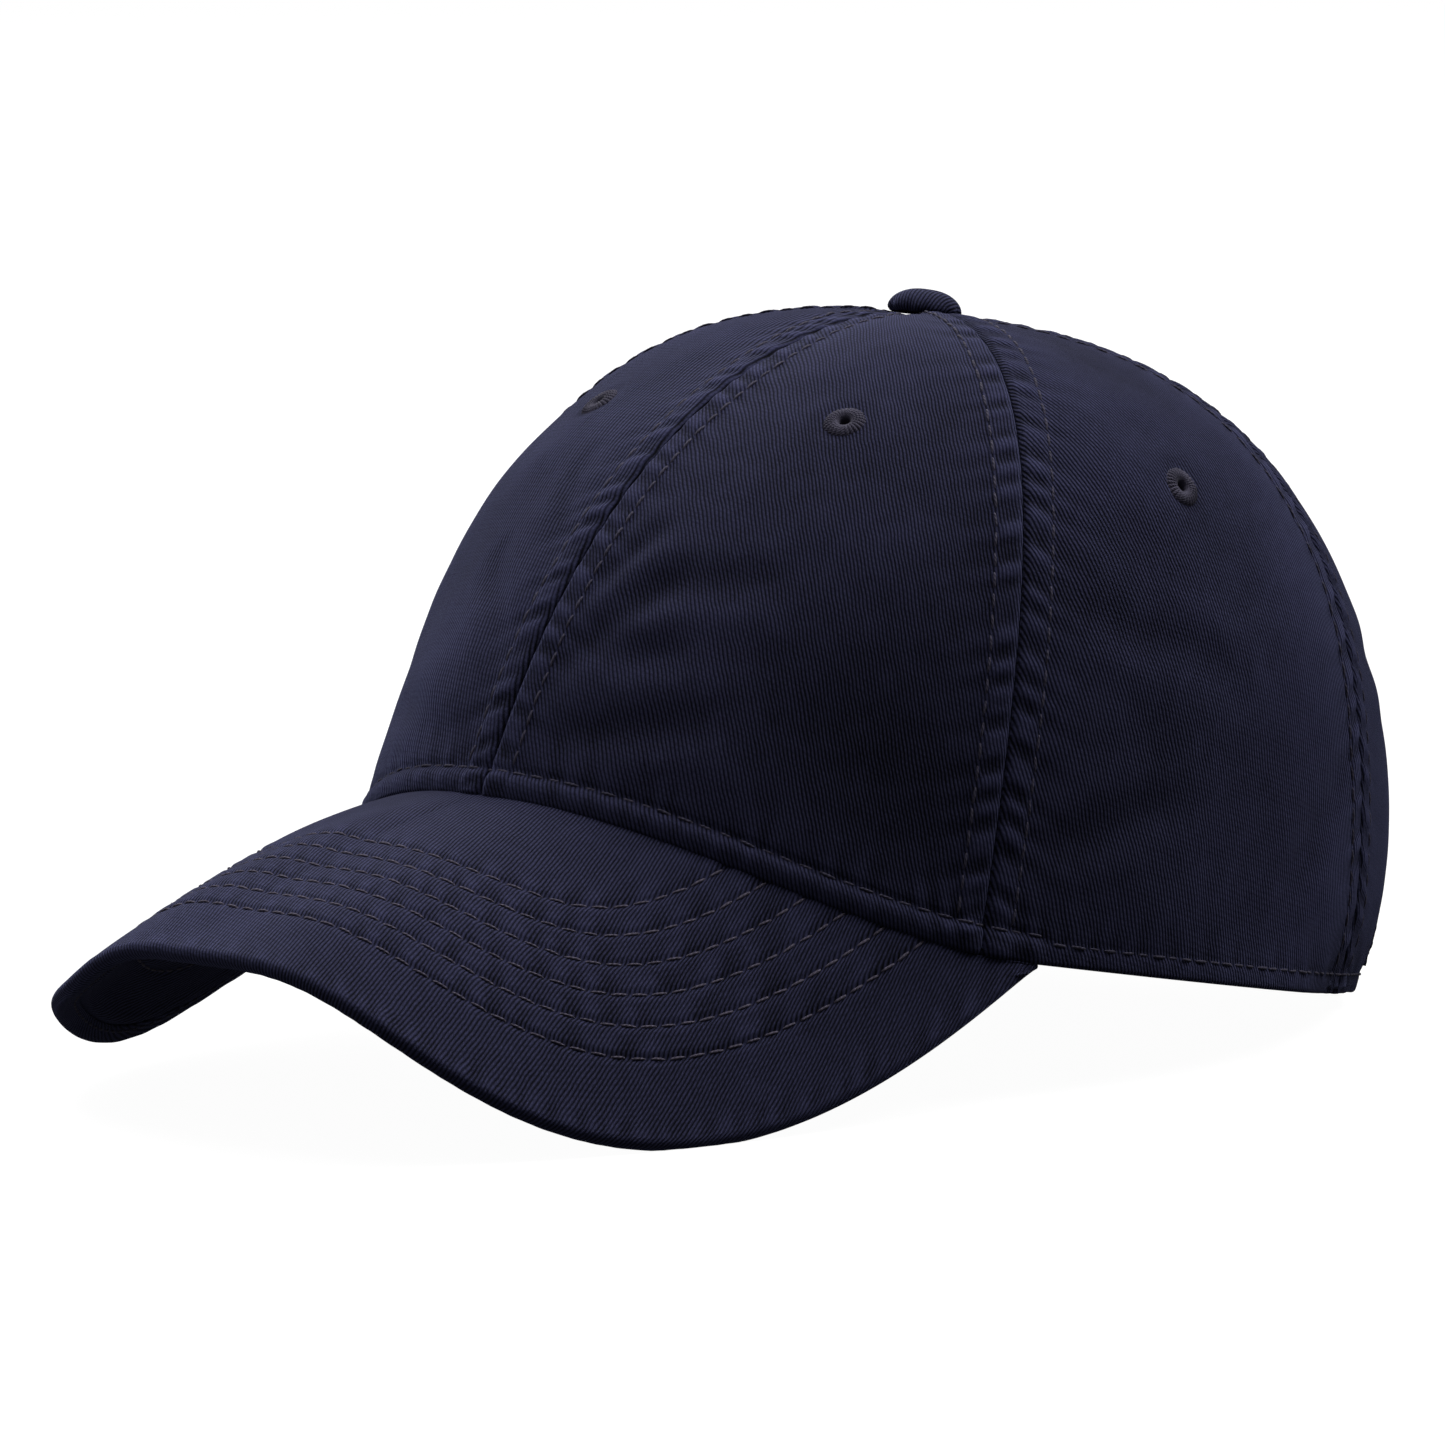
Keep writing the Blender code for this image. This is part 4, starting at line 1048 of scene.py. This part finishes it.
def brim_top(u, v, inset=0.0):
    """Top face of the brim: straight rulings from crown to edge, lifted a little at their middle."""
    u, v = np.broadcast_arrays(np.asarray(u, float), np.asarray(v, float))
    root, edge = brim_root(u), brim_edge(u)
    length = np.linalg.norm(edge - root, axis=-1, keepdims=True)
    if np.any(inset):
        edge = edge - brim_outward(u) * np.asarray(inset)
    point = root + (edge - root) * v[..., None]
    full = BRIM_BULGE + BRIM_RIGHT[2] * right_bow(u)
    lift = full * 4 * v * (1 - v) * np.clip(length[..., 0] / 0.07, 0, 1)
    return point + np.stack([0 * v, 0 * v, lift], -1)


def brim_normal(u, v):
    """Upward normal of the brim's top face."""
    u, v = np.broadcast_arrays(np.asarray(u, float), np.asarray(v, float))
    step = 1e-3
    across = brim_top(u + step, v) - brim_top(u - step, v)
    along = brim_top(u, np.minimum(v + step, 1)) - brim_top(u, np.maximum(v - step, 0))
    return unit(np.cross(along, across))


def brim_outward(u):
    """Direction in the brim's face square to its outer edge."""
    step = 1e-3
    ahead = brim_edge(u + step) - brim_edge(u - step)
    return unit(np.cross(brim_normal(u, np.full_like(u, 0.98)), -ahead))


def edge_shares(count):
    """Shares round the brim at equal lengths of its edge."""
    fine = np.linspace(-BRIM_TIP, BRIM_TIP, 2401)
    way = lengths(brim_edge(fine), 0)
    return np.interp(np.linspace(0, way[-1], count), way, fine)


EDGE_LINE = brim_edge(edge_shares(420))


def edge_distance(points):
    """Distance of each point from the nearest part of the brim's edge, found on its chords' ends."""
    flat = points.reshape(-1, 3)
    found = np.empty(len(flat))
    for start in range(0, len(flat), 4000):
        part = flat[start : start + 4000]
        gaps = np.linalg.norm(part[:, None] - EDGE_LINE[None], axis=-1)
        nearest = np.clip(gaps.argmin(1), 1, len(EDGE_LINE) - 2)
        before, after = EDGE_LINE[nearest - 1], EDGE_LINE[nearest + 1]
        run = unit(after - before)
        to = part - before
        found[start : start + 4000] = np.linalg.norm(to - (to * run).sum(-1, keepdims=True) * run, axis=-1)
    return found.reshape(points.shape[:-1])


def brim_relief(points, apart):
    """Quilting of the brim: a groove along each needle row, the cloth a little full and puckered between."""
    height = np.zeros(apart.shape)
    pucker = np.zeros(apart.shape)
    for index, row in enumerate(BRIM_ROWS):
        height -= 0.00034 * hump(apart - row, 0.00075)
        waves = ripple(points[..., 0] * 1.1 + points[..., 1] * 0.35 + 0.3 * apart, 61 + index)
        pucker += 0.00010 * waves * hump(apart - row - 0.0012, 0.0022)
    height += 0.00022 * smooth((apart - BRIM_ROWS[0] + 0.001) / 0.002)
    height += 0.00018 * swell(points, 9, (0.014, 0.040), 12) * smooth(apart / 0.006)
    pucker += 0.00010 * ripple(points[..., 0] + points[..., 1], 71) * hump(apart - 0.0022, 0.0022)
    return height + pucker, pucker


BRIM_COLUMNS = 330
BRIM_GRID_ROWS = 150


def brim_first(u):
    """Share of a ruling where the cover starts, just inside the crown's fold."""
    length = np.maximum(np.linalg.norm(brim_edge(u) - brim_root(u), axis=-1), 0.008)
    return -0.0024 / length


def rim_radius(u):
    """Half the brim's thickness, less at the two corners where it runs out."""
    return BRIM_THICK / 2 * (1 - 0.5 * smooth((np.abs(u) - 0.945) / (BRIM_TIP - 0.945)))


def brim_uv(points):
    """Cloth coordinates: x, opened out by the fall of the sides, and y."""
    x = points[..., 0]
    return np.stack([x * (1 + 0.35 * (x / BRIM_HALF) ** 2), points[..., 1]], -1)


def make_brim():
    """Top cover that wraps round the edge, bottom cover inside its lip, and the rows through both."""
    u = edge_shares(BRIM_COLUMNS)
    rim = rim_radius(u)[:, None]
    first = brim_first(u)
    share = np.linspace(0, 1, BRIM_GRID_ROWS)[:, None]
    v = first + (1 - first) * share
    face = brim_top(u, v, rim)
    normal = brim_normal(u, np.clip(v, 0, 0.98))
    apart = edge_distance(face)
    height, pucker = brim_relief(face, apart)
    fade = smooth(apart / 0.003)
    face = face + normal * (height * fade)[..., None]
    turn = np.linspace(0, math.pi, 13)[1:, None, None]
    last, up, outward = face[-1], normal[-1], brim_outward(u)
    wrapped = last + rim * (np.sin(turn) * outward - (1 - np.cos(turn)) * up)
    back = np.linspace(0, 1, 6)[1:, None, None]
    lip = wrapped[-1] - back * (LIP * (rim / rim.max())) * outward
    _, away, _, _ = crown_frame(np.sign(u) * np.abs(u) ** BRIM_FAN * math.radians(BRIM_ANGLE), 0 * u)
    inward, upward = np.array([(0.0027, 0.0024), (0.0025, 0.0004), (0.0012, 0.0)]).T[:, :, None, None]
    tucked = face[0] - away * inward + np.array([0, 0, 1.0]) * upward
    points = np.concatenate([tucked, face, wrapped, lip])[::-1]
    extra = len(wrapped) + len(lip)
    uv_face = brim_uv(np.concatenate([tucked, face]))
    step = np.linspace(0, 0.008, extra + 1)[1:, None, None]
    beyond = uv_face[-1] + step * unit(outward[:, :2])
    uv = np.concatenate([uv_face, beyond])[::-1]
    # Paler on pucker crests and near the edge, and paler still round the wrapped edge and lip: partly fading
    # from rubbing, partly a painted highlight where the edge rolls towards the light.
    quilted = 0.5 + pucker / 0.0007 + 0.08 * hump(apart, 0.002)
    rubbing_and_painted_light = np.concatenate([np.full((len(tucked), len(u)), 0.5), quilted])
    wear = np.concatenate([np.clip(rubbing_and_painted_light, 0, 1), np.full((extra, len(u)), 0.60)])[::-1]
    width = float(np.ptp(uv[..., 0]))
    length = float(np.ptp(uv[..., 1])) + 0.006
    cloth_sheet(
        "brim_top_twill", points, WASHED, 0.0005, ["brim_top_cover"], "washed_twill", (width, length),
        uv=uv, wear=wear, rests_on=["brim_board"],
    )
    skirt = rim + (LIP - 0.0010) * (rim / rim.max())
    low_face = brim_top(u, v, skirt)
    low_normal = brim_normal(u, np.clip(v, 0, 0.98))
    low_apart = edge_distance(brim_top(u, v, rim))
    low_height, low_pucker = brim_relief(low_face, low_apart)
    slim = (rim / rim.max())[:, 0]
    inside = np.linalg.norm(low_face - low_face[-1:], axis=-1)
    rolled = smooth((inside - 0.0008) / 0.0012)
    drop = BRIM_THICK * slim - 0.00060 + rolled * (0.00075 + 0.00030 * hump(inside - 0.0030, 0.0018))
    quilt = low_height * smooth(low_apart / 0.003) * 0.7 * rolled
    under = low_face - low_normal * (drop + quilt)[..., None]
    # The bottom cover is paler on its pucker crests: partly fading from rubbing, partly painted highlight.
    cloth_sheet(
        "brim_bottom_twill", under, WASHED, 0.0004, ["brim_bottom_cover"], "washed_twill", (width, length),
        uv=brim_uv(under), wear=np.clip(0.5 + low_pucker / 0.0010, 0, 1), rests_on=["brim_board"],
    )
    rows, low_rows = [], []
    covers = ((face, normal, apart, rows), (under, -low_normal, low_apart, low_rows))
    for row in BRIM_ROWS:
        for grid, out, distance, found in covers:
            crossing = (distance[:-1] > row) & (distance[1:] <= row)
            has = crossing.any(0)
            if has.sum() < 4:
                continue
            low = crossing.argmax(0)[has]
            cols = np.flatnonzero(has)
            a, b = distance[low, cols], distance[low + 1, cols]
            mix = ((a - row) / np.maximum(a - b, 1e-9))[:, None]
            line = grid[low, cols] * (1 - mix) + grid[low + 1, cols] * mix
            normals = out[low, cols]
            inside = share[low, 0] > 0.035
            line, normals = line[inside], normals[inside]
            found.append((line + normals * 0.00012, normals))
    sew("brim_top_rows", rows, BRIM_THREAD)
    sew("brim_bottom_rows", low_rows, BRIM_THREAD)
    edge_row = points[2] - low_normal[-1] * 0.00005
    sew("brim_lip_row", [(edge_row[6:-6], -low_normal[-1][6:-6])], length=0.0024, pitch=0.0029)


# ---------------------------------------------------------------- inside


def band_point(theta, height, extra):
    """A point of the sweatband: the crown's plan at that height, but never wider than at the hem."""
    z = hem_rise(theta) + height
    angle, start = meridian(theta, z)
    scale = np.minimum((np.cos(angle) / np.cos(start)) ** around(theta, *ROUNDNESS), 1)
    x, y = hem_plan(theta)
    step = 1e-4
    ahead, behind = hem_plan(theta + step), hem_plan(theta - step)
    outward = unit(np.stack([ahead[1] - behind[1], behind[0] - ahead[0], 0 * x], -1))
    turned_in = smooth((np.degrees(np.abs(theta)) - 112) / 18)
    depth = BAND_DEPTH[0] + (BAND_DEPTH[1] - BAND_DEPTH[0]) * turned_in + extra
    point = np.stack([x * scale, TOP_SHIFT * z / CROWN_HEIGHT + y * scale, z], -1)
    return point - outward * depth[..., None], -outward


def make_band():
    """Sweatband sewn to the hem, its upper edge turned back, with the felt pad behind it."""
    theta = np.radians(np.linspace(BAND_END, -BAND_END, 420))
    height = np.linspace(0, 1, 44)[:, None] * BAND_HEIGHT + 0.0004
    theta_grid, height_grid = theta + 0 * height, height + 0 * theta
    soft = 0.00028 * np.sin(theta_grid * 23 + 1.0) * np.sin(theta_grid * 7) * smooth(height_grid / 0.012)
    past_edge = height_grid - BAND_HEIGHT
    rolls = 0.00030 * hump(height_grid - 0.0012, 0.0012) + 0.00034 * hump(past_edge + 0.0016, 0.0016)
    grooves = -0.00030 * hump(height_grid - 0.0034, 0.0006) - 0.00026 * hump(past_edge + 0.0042, 0.0006)
    puckers = 0.00012 * ripple(theta_grid * 0.085, 83) * hump(height_grid - 0.0045, 0.004)
    extra = BAND_SKIN + soft + rolls + grooves + puckers - 0.0008 * smooth((0.0034 - height_grid) / 0.003)
    points, normals = band_point(theta_grid, height_grid, extra)
    uv = np.stack([theta_grid * 0.088, height_grid], -1)
    long_way = 2 * math.radians(BAND_END) * 0.0900
    cloth_sheet(
        "sweatband_cotton", points, LINING, 0.0006, ["sweatband"], "sweatband_cotton",
        (long_way, BAND_HEIGHT), uv=uv, rests_on=["sweatband_felt"],
    )
    rows = []
    for level in (0.0034, BAND_HEIGHT - 0.0042 + 0.0004):
        near = int(np.abs(height[:, 0] - level).argmin())
        rows.append((points[near][4:-4] + normals[near][4:-4] * STITCH_LIFT, normals[near][4:-4]))
    sew("sweatband_rows", rows, length=0.0026, pitch=0.0032)
    theta = np.radians(np.linspace(BAND_END - 1.5, -BAND_END + 1.5, 200))
    height = np.linspace(0.0048, BAND_HEIGHT - 0.002, 14)[:, None]
    theta_grid, height_grid = theta + 0 * height, height + 0 * theta
    points, _ = band_point(theta_grid, height_grid, 0.00025 + 0 * theta_grid)
    felt = make_mesh("sweatband_felt", points, grid_quads(*points.shape[:2]), FELT)
    thicken(felt, 0.0007, 0.0)
    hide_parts("sweatband_pad")


def make_tapes():
    """Bias tape over the inside of each seam, its edges folded under, sewn by the two needle rows."""
    names = {
        ("front", 1): "seam_tape_front",
        ("side", 1): "seam_tape_left_side",
        ("side", -1): "seam_tape_right_side",
        ("rear", 1): "seam_tape_left_rear",
        ("rear", -1): "seam_tape_right_rear",
        ("back", 1): "seam_tape_back",
    }
    rows = []
    for index, (name, sign, seam) in enumerate(seam_lines()):
        start = ARCH_HEIGHT + 0.0065 if name == "back" else 0.001
        foot = np.array([math.radians(seam[0])])
        low = float(fraction(foot, hem_rise(foot) + start)[0])
        top = float(up_at_radius(seam_angle(seam, np.ones(1)), 0.0085)[0])
        up = np.linspace(low, top, 150)[:, None]
        line = sign * seam_angle(seam, up)
        _, _, _, speed = crown_frame(line, up)
        half = np.minimum(TAPE_HALF, speed * 0.45)
        across = np.linspace(1, -1, 27)
        theta = line + across * half / speed
        apart = np.abs(across) * half
        row = row_offset(speed)
        point, normal, _, _ = crown_frame(theta, up + 0 * theta)
        length = climb(line, up)
        dent = 0.00026 * hump(apart - row, 0.0006) - 0.00016 * smooth((apart - half + 0.0016) / 0.0008)
        fullness = np.sin(math.pi * np.clip(apart / row, 0, 1))
        waves = 0.00016 * ripple(length + 0.3 * apart, 90 + index) * fullness
        depth = TAPE_DEPTH + 0.0002 - dent + waves
        points = point - normal * depth[..., None]
        uv = np.stack([across * half, length + 0 * theta], -1)
        cloth_sheet(
            names[name, sign] + "_folded", points, TAPING, 0.0003, [names[name, sign]], "bias_tape",
            (2 * TAPE_HALF, float(np.ptp(length))), uv=uv, rests_on=[],
        )
        for side in (1, -1):
            line_row = line[:, 0] + side * (row / speed)[:, 0]
            point, normal, _, _ = crown_frame(line_row, up[:, 0])
            rows.append((point - normal * (TAPE_DEPTH + 0.0001), -normal))
    sew("seam_tape_rows", rows)


def make_binding():
    """Tape round the inside of the back opening."""
    turn = math.pi - math.radians(10) - (math.pi - 2 * math.radians(10)) * np.linspace(0, 1, 150)[None]
    v = np.linspace(0, 1, 15)[:, None]
    grow = 0.0006 + 0.0058 * (1 - v)
    x, z = arch_outline(grow, turn)
    edge = 0.00018 * smooth((np.abs(v - 0.5) - 0.36) / 0.1)
    waves = 0.00010 * ripple(turn * 0.05, 97)
    depth = TAPE_DEPTH + 0.0003 + edge + waves + 0 * x
    points = back_point(x, z, depth[..., None])
    long_way = float(lengths(points[7:8], 1)[0, -1])
    cloth_sheet(
        "back_opening_tape", points[:, ::-1], TAPING, 0.0003, ["back_opening_binding"], "bias_tape",
        (0.010, long_way), rests_on=[],
    )
    x, z = arch_outline(ARCH_ROW, turn[0])
    theta = back_angle(x, z)
    point, normal, _, _ = crown_frame(theta, fraction(theta, z))
    sew("back_opening_tape_row", [(point - normal * (TAPE_DEPTH + 0.0006), -normal)])


# ---------------------------------------------------------------- closure


def arc_place(angle, depth, z):
    """Point on the strap's arc with its directions along the strap, inward and up."""
    a = np.radians(angle)
    outward = np.stack([np.sin(a), np.cos(a), 0 * a], -1)
    along = np.stack([np.cos(a), -np.sin(a), 0 * a], -1)
    axis = np.stack([0 * a, STRAP_CENTRE + 0 * a, z + 0 * a], -1)
    spot = axis + outward * (STRAP_RADIUS - np.asarray(depth))[..., None]
    return spot, along, -outward


def make_strap():
    """Closure strap: a doubled band of twill with a row along each edge and a rounded tail."""
    low, high = STRAP_Z
    share = np.linspace(0, 1, 170)
    angle = STRAP_SPAN[1] + (STRAP_SPAN[0] - STRAP_SPAN[1]) * share
    v = np.linspace(0, 1, 25)[:, None]
    tail = np.sqrt(np.clip(1 - np.clip(1 - share / 0.05, 0, 1) ** 2.4, 0.18, 1))
    middle, half = (low + high) / 2, (high - low) / 2
    z = middle + (2 * v - 1) * half * tail
    edge = np.abs(2 * v - 1) * half
    dent = 0.00022 * (hump(half - edge - 0.0021, 0.0005)) + 0.00030 * smooth((edge - half + 0.0008) / 0.0008)
    waves = 0.00008 * ripple(np.radians(angle) * STRAP_RADIUS + 0 * v, 103) * hump(half - edge - 0.002, 0.003)
    spot, _, inward = arc_place(angle + 0 * z, 0.00005 + dent - waves, z)
    uv = np.stack([np.radians(angle) * STRAP_RADIUS + 0 * v, z - middle], -1)
    long_way = math.radians(STRAP_SPAN[1] - STRAP_SPAN[0]) * STRAP_RADIUS
    cloth_sheet(
        "closure_strap_twill", spot, WASHED, STRAP_THICK * 0.85, ["closure_strap"], "washed_twill",
        (2 * half, long_way), body="strap", uv=uv, rests_on=["buckle_frame_plated"],
    )
    rows = []
    for level in (-half + 0.0021, half - 0.0021):
        line, _, inward = arc_place(angle[8:], 0.00005 + 0 * angle[8:], middle + level)
        rows.append((line - inward * 0.00004, -inward))
        rows.append((line + inward * (STRAP_THICK * 0.9), inward))
    sew("closure_strap_rows", rows, body="strap", length=0.0024, pitch=0.0030)


def make_loop():
    """Cloth loop that grips the left panel's edge and goes round the buckle's bar."""
    low, high = STRAP_Z[0] + 0.0008, STRAP_Z[1] - 0.0008
    bar_angle = math.degrees(math.asin(BAR_X / STRAP_RADIUS))
    centre, along, inward = arc_place(np.array(bar_angle), np.array(BAR_DEPTH), 0.0)
    out, deep, reach = LOOP_OUT, 0.0024, 0.047
    half = (out + deep) / 2
    u = np.linspace(0, 1, 150)[None]
    v = np.linspace(0, 1, 19)[:, None]
    u, v = u + 0 * v, v + 0 * u
    z = low + (high - low) * v
    turn = np.clip((u - 0.35) / 0.3, 0, 1) * math.pi
    bent = -np.sin(turn)[..., None] * along - np.cos(turn)[..., None] * inward
    nose = centre + half * bent + np.stack([0 * z, 0 * z, z], -1)
    leg = np.clip(np.abs(u - 0.5) / 0.15 - 1, 0, 7 / 3) * 3 / 7
    x = nose[..., 0] + (reach - nose[..., 0]) * leg
    kept = np.maximum(x, 0.02)
    angle = back_angle(kept, z)
    sunk, _ = relief(angle, fraction(angle, z))
    skin_at = back_point(kept, z, (np.where(u < 0.5, -out, deep) - sunk)[..., None])
    mix = smooth((leg - 0.09) / 0.2)[..., None]
    straight = nose + along * ((x - nose[..., 0]) / along[0])[..., None]
    points = straight + (skin_at - straight) * mix
    outer = unit(np.cross(np.gradient(points, axis=1), np.gradient(points, axis=0)))
    edge = np.minimum(v, 1 - v) * (high - low)
    waves = 0.00012 * ripple(lengths(points, 1), 107) * hump(edge - 0.0016, 0.002)
    height = waves - 0.00018 * hump(edge - 0.0019, 0.0005)
    points = points + outer * np.clip(height, -0.0003, 0.0002)[..., None]
    uv = np.stack([lengths(points, 1), z], -1)
    cloth_sheet(
        "buckle_loop_twill", points, WASHED, 0.0005, ["buckle_loop"], "washed_twill",
        (high - low, float(lengths(points[9:10], 1)[0, -1])), uv=uv, rests_on=["buckle_frame_plated"],
    )
    rows = []
    for near in (3, 15):
        rows.append((points[near, :52] + outer[near, :52] * 0.0001, outer[near, :52]))
        rows.append((points[near, -52:] + outer[near, -52:] * 0.0001, outer[near, -52:]))
    for near in (4, 40):
        rows.append((points[3:16, near] + outer[3:16, near] * 0.0001, outer[3:16, near]))
    sew("buckle_loop_rows", rows, length=0.0022, pitch=0.0027)


def make_label():
    """Blank care label of woven satin, hanging inside the back on the left."""
    u = np.linspace(0, 1, 25)[None]
    v = np.linspace(0, 1, 41)[:, None]
    curl = 0.0012 * v**2 + 0.0010 * smooth((0.3 - v) / 0.3) * np.sin(u * 2.3)
    x = 0.044 + 0.015 * u + 0 * v
    z = 0.0345 + 0.026 * v + 0 * u
    points = back_point(x, z, (0.0031 + curl * 0.8)[..., None])
    cloth_sheet(
        "care_label_satin", points[:, ::-1], SATIN, 0.00025, ["care_label"], "label_satin", (0.022, 0.028),
        rests_on=[],
    )


def plated(name, node, finish, body, width):
    """A merged copy of a CAD node with its edges rounded."""
    mesh = frame["nodes"][node].data.copy()
    cage = bmesh.new()
    cage.from_mesh(mesh)
    bmesh.ops.remove_doubles(cage, verts=cage.verts, dist=2e-6)
    bmesh.ops.dissolve_limit(cage, angle_limit=math.radians(1), verts=cage.verts, edges=cage.edges)
    cage.to_mesh(mesh)
    cage.free()
    mesh.materials.clear()
    mesh.materials.append(finish)
    mesh.shade_smooth()
    obj = bpy.data.objects.new(name, mesh)
    bpy.context.scene.collection.objects.link(obj)
    bevel = obj.modifiers.new("rounded edges", "BEVEL")
    bevel.width = width
    bevel.segments = 3
    bevel.limit_method = "ANGLE"
    bevel.angle_limit = math.radians(40)
    bevel.harden_normals = True
    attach(obj, body)
    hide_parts(node)
    return obj


def finish_hard_parts():
    """Plated buckle pieces, and finishes for the CAD nodes that stay."""
    plated("buckle_frame_plated", "buckle_frame", BRASS, "cap", 0.00018)
    plated("buckle_lever_plated", "buckle_lever", BRASS, "lever", 0.00022)
    kept = {"buckle_pin": BRASS, "top_button_shell": STEEL, "top_button_backing": STEEL, "brim_board": BOARD}
    for node, finish in kept.items():
        slots = frame["nodes"][node].data.materials
        slots.clear()
        slots.append(finish)


# ---------------------------------------------------------------- room, light and camera


def make_room():
    """A wide pale floor, six soft round lamps, a dim light from all round and the camera."""
    mesh = bpy.data.meshes.new("floor")
    size = 40.0
    corners = [(x * size, y * size, 0) for x, y in ((-1, -1), (1, -1), (1, 1), (-1, 1))]
    mesh.from_pydata(corners, [], [(0, 1, 2, 3)])
    floor = bpy.data.objects.new("floor", mesh)
    bpy.context.scene.collection.objects.link(floor)
    floor.visible_diffuse = False
    floor.visible_glossy = False
    paper = Finish("pale_floor")
    paper.set(Base_Color=(0.10, 0.10, 0.10, 1), Roughness=1.0, Specular_IOR_Level=0.0)
    paper.set(Emission_Color=(1, 1, 1, 1), Emission_Strength=0.97)
    mesh.materials.append(paper.material)
    world = bpy.data.worlds.new("room")
    world.use_nodes = True
    world.node_tree.nodes["Background"].inputs[0].default_value = (1, 1, 1, 1)
    world.node_tree.nodes["Background"].inputs[1].default_value = 0.08
    bpy.context.scene.world = world
    lamps = (
        ("overhead", (0.0, 0.0, 3.0), (0, 0, 0.06), 2.5, 50),
        ("overhead_back", (-0.9, 0.9, 2.6), (0, 0, 0.06), 2.5, 36),
        ("far_side", (-2.2, 1.0, 1.6), (0, 0, 0.06), 2.0, 28),
        ("near_side", (0.9, 1.8, 2.4), (0, 0, 0.06), 2.0, 62),
        ("front", (1.2, -1.2, 2.6), (0, 0, 0.06), 2.0, 4),
        ("low_far_side", (-2.2, -1.6, 0.5), (0, 0, 0.06), 1.2, 9),
    )
    for name, spot, target, size, power in lamps:
        lamp = bpy.data.lights.new(name, "AREA")
        lamp.shape = "DISK"
        lamp.size = size
        lamp.energy = power
        obj = bpy.data.objects.new(name, lamp)
        obj.location = spot
        obj.rotation_euler = (Vector(target) - Vector(spot)).to_track_quat("-Z", "Y").to_euler()
        obj.visible_camera = False
        bpy.context.scene.collection.objects.link(obj)
    data = bpy.data.cameras.new("camera")
    data.lens = LENS
    data.sensor_width = 36.0
    data.clip_start = 0.05
    data.clip_end = 200
    camera = bpy.data.objects.new("camera", data)
    azimuth, elevation, roll = (math.radians(a) for a in LOOK_FROM)
    level = math.cos(elevation)
    back = Vector((math.sin(azimuth) * level, -math.cos(azimuth) * level, math.sin(elevation)))
    right = Vector((math.cos(azimuth), math.sin(azimuth), 0))
    turn = Matrix((right, back.cross(right), back)).transposed() @ Matrix.Rotation(roll, 3, "Z")
    camera.matrix_world = Matrix.Translation(Vector(CAMERA_SPOT)) @ turn.to_4x4()
    bpy.context.scene.collection.objects.link(camera)
    bpy.context.scene.camera = camera
    bpy.context.scene.view_settings.view_transform = "Standard"


make_room()
make_panels()
make_crown_stitches()
make_eyelets()
make_button()
make_brim()
make_band()
make_tapes()
make_binding()
make_strap()
make_loop()
make_label()
finish_hard_parts()
